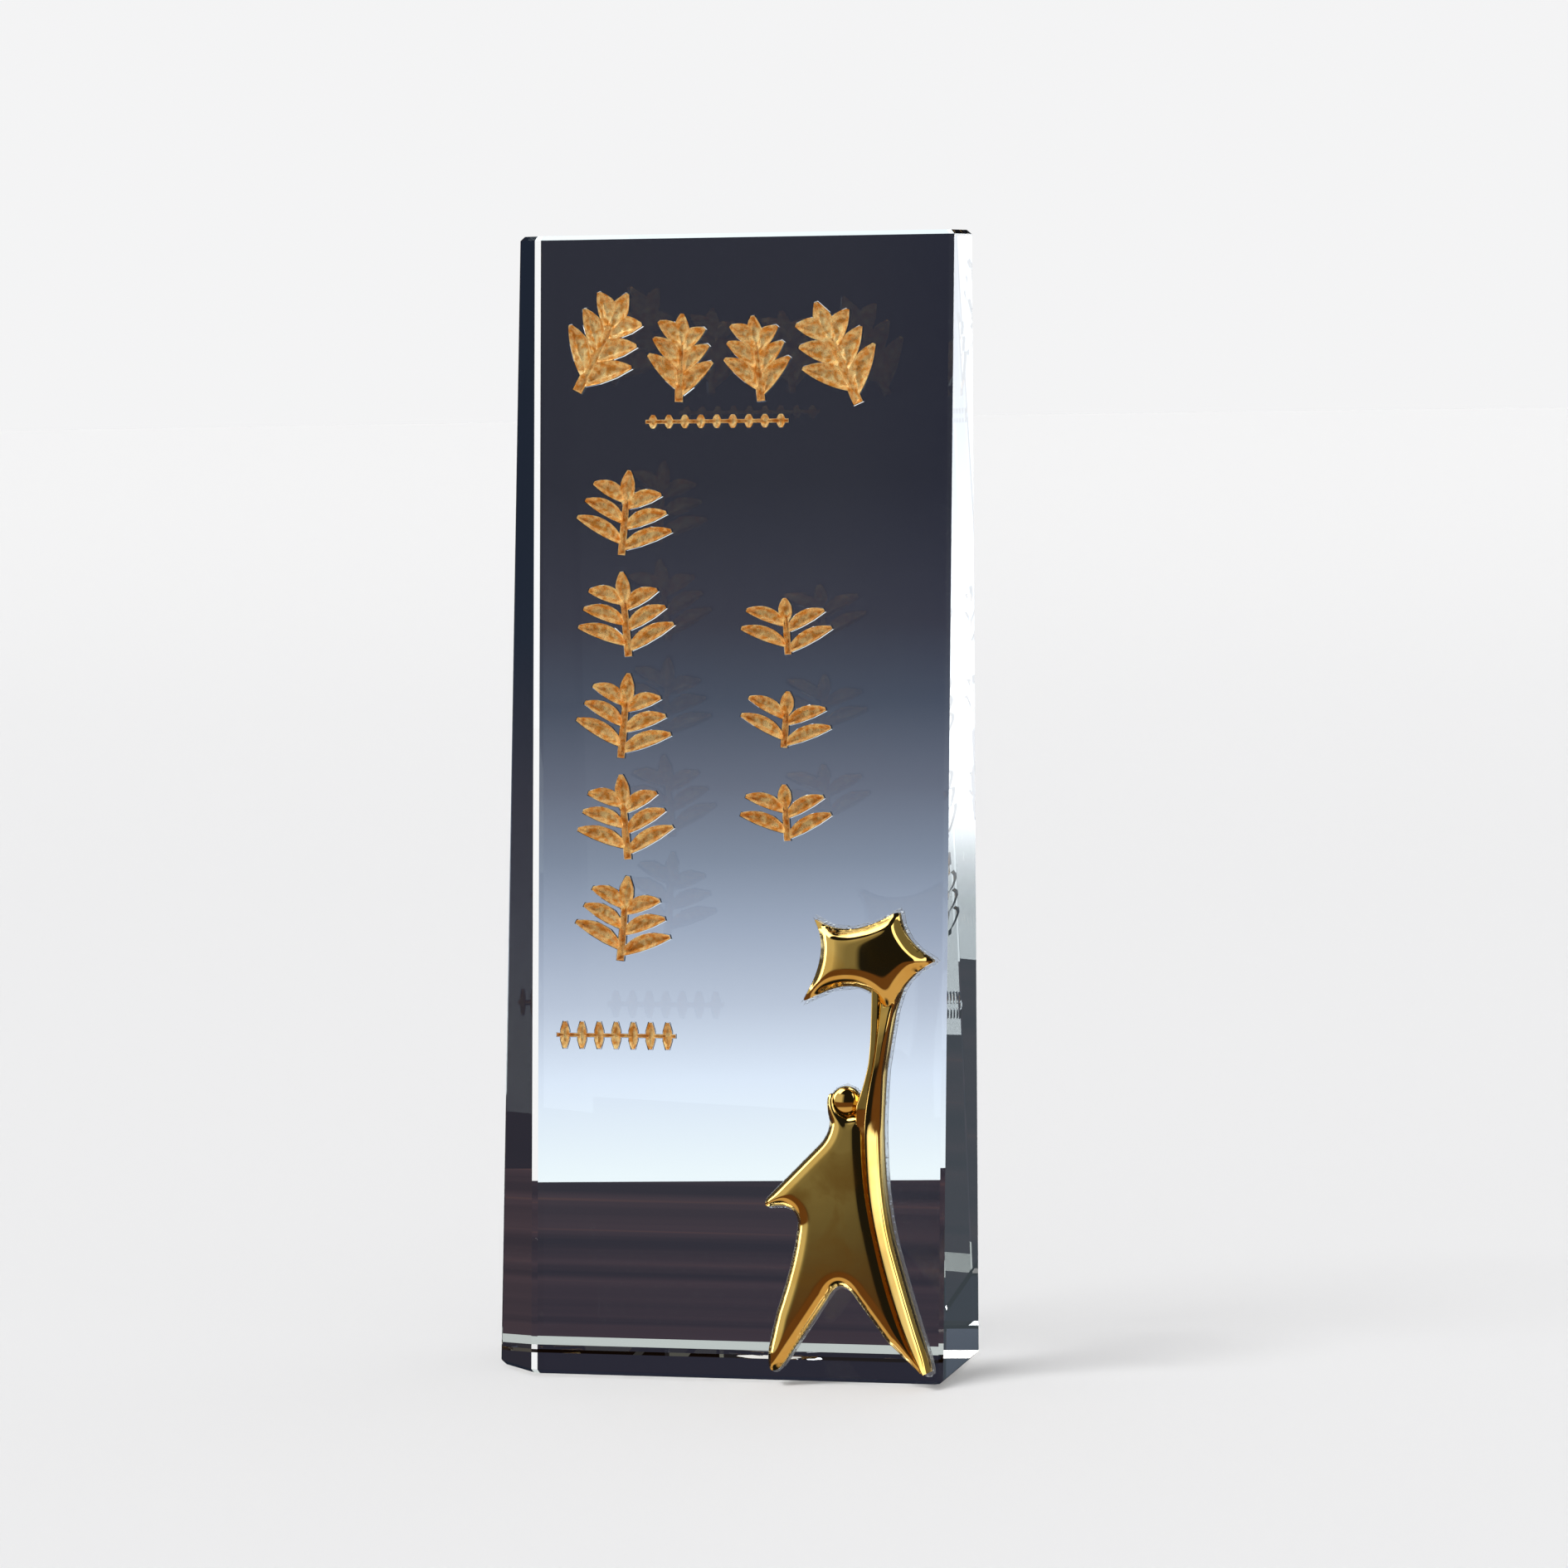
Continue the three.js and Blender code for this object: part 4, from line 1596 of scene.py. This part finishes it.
    def room(self, tree: Tree) -> Socket:
        """Lays out the dark room and its light panels, as the metal reflects them.

        Args:
            tree: The world's tree.

        Returns:
            The light's socket.
        """
        panels = (
            Panel((-72, -12.5), (-0.5, 40), (0.20, 0.19, 0.145), 1.6),
            Panel((-72, -21), (-3, 40), (0.58, 0.54, 0.42), 10.0),
            Panel((-98, -75), (-18, 50), (3.6, 3.5, 3.3)),
            Panel((50, 76), (-30, 50), (1.9, 1.85, 1.7)),
            Panel((76, 150), (-40, 60), (0.17, 0.17, 0.14), 8.0),
            Panel((150, 185), (-5.6, 60), (2.5, 2.6, 2.7), 1.0),
            Panel((150, 185), (-30, -5.6), (0.13, 0.16, 0.18), 1.0),
            Panel((-130, -46), (42, 74), (3.6, 3.5, 3.3), 8.0),
            Panel((-120, 130), (-60, -24), (0.60, 0.44, 0.28), 12.0),
            Panel((-120, 130), (-24, -1.0), (0.13, 0.062, 0.028), 1.6),
        )
        place = node(tree, "TexCoord")
        split = node(tree, "SeparateXYZ")
        link(tree, place.outputs["Generated"], split.inputs[0])
        ahead = node(tree, "Math", operation="MULTIPLY")
        ahead.inputs[1].default_value = -1.0
        link(tree, split.outputs["Y"], ahead.inputs[0])
        azimuth = self.degrees(tree, "ARCTAN2", split.outputs["X"], ahead.outputs[0])
        elevation = self.degrees(tree, "ARCSINE", split.outputs["Z"])
        light: object = (0.012, 0.012, 0.014)
        for panel in panels:
            mask = node(tree, "Math", operation="MULTIPLY")
            link(tree, self.window(tree, azimuth, panel.azimuth, panel.soft), mask.inputs[0])
            link(tree, self.window(tree, elevation, panel.elevation, panel.soft), mask.inputs[1])
            light = mix(tree, mask.outputs[0], light, panel.colour)
        return light

    def world(self) -> None:
        """White for the camera, even light for matt surfaces, and the dark room for reflections."""
        world = bpy.data.worlds.new("studio")
        bpy.context.scene.world = world
        world.use_nodes = True
        tree = world.node_tree
        path = node(tree, "LightPath")
        seen = mix(tree, path.outputs["Is Diffuse Ray"], self.room(tree), (0.52, 0.52, 0.53))
        colour = mix(tree, path.outputs["Is Camera Ray"], seen, (0.905, 0.905, 0.91))
        link(tree, colour, tree.nodes["Background"].inputs["Color"])

    def build(self) -> None:
        """Sets the studio up."""
        bpy.context.scene.view_settings.view_transform = "Standard"
        self.camera()
        self.world()
        self.floor()
        self.table()
        self.foot_strip()
        self.curtain()
        # painted light in the glass: glowing cards, not lamps, paint a bright streak, a dark streak and a
        # pale high band into what the glass shows
        self.card("light_card", (-6.5, -3.0), (-0.5, 0.9), 0.94, (1.0, 1.0, 1.0))
        self.card("dark_card", (1.0, 26.0), (-0.9, 0.9), 0.92, (0.014, 0.020, 0.034))
        self.card("high_card", (-40.0, 10.0), (0.38, 0.52), 0.9, (0.75, 0.80, 0.78))
        self.sun("key", -48, 52, 1.9, 20)


def main() -> None:
    """Builds the trophy and its studio."""
    logging.basicConfig(level=logging.INFO, format="%(message)s")
    face = FrontFace()
    Studio().build()
    for name, finish in (("crystal_block", Crystal()), ("adhesive_film", ClearResin())):
        LOG.info("%s: %s", name, finish.name)
        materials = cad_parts[name].data.materials
        materials.clear()
        materials.append(finish.material())
    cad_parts["crystal_block"].visible_shadow = False
    Engraving(face).build()
    CastFigure(face).build()


if __name__ == "__main__":
    main()
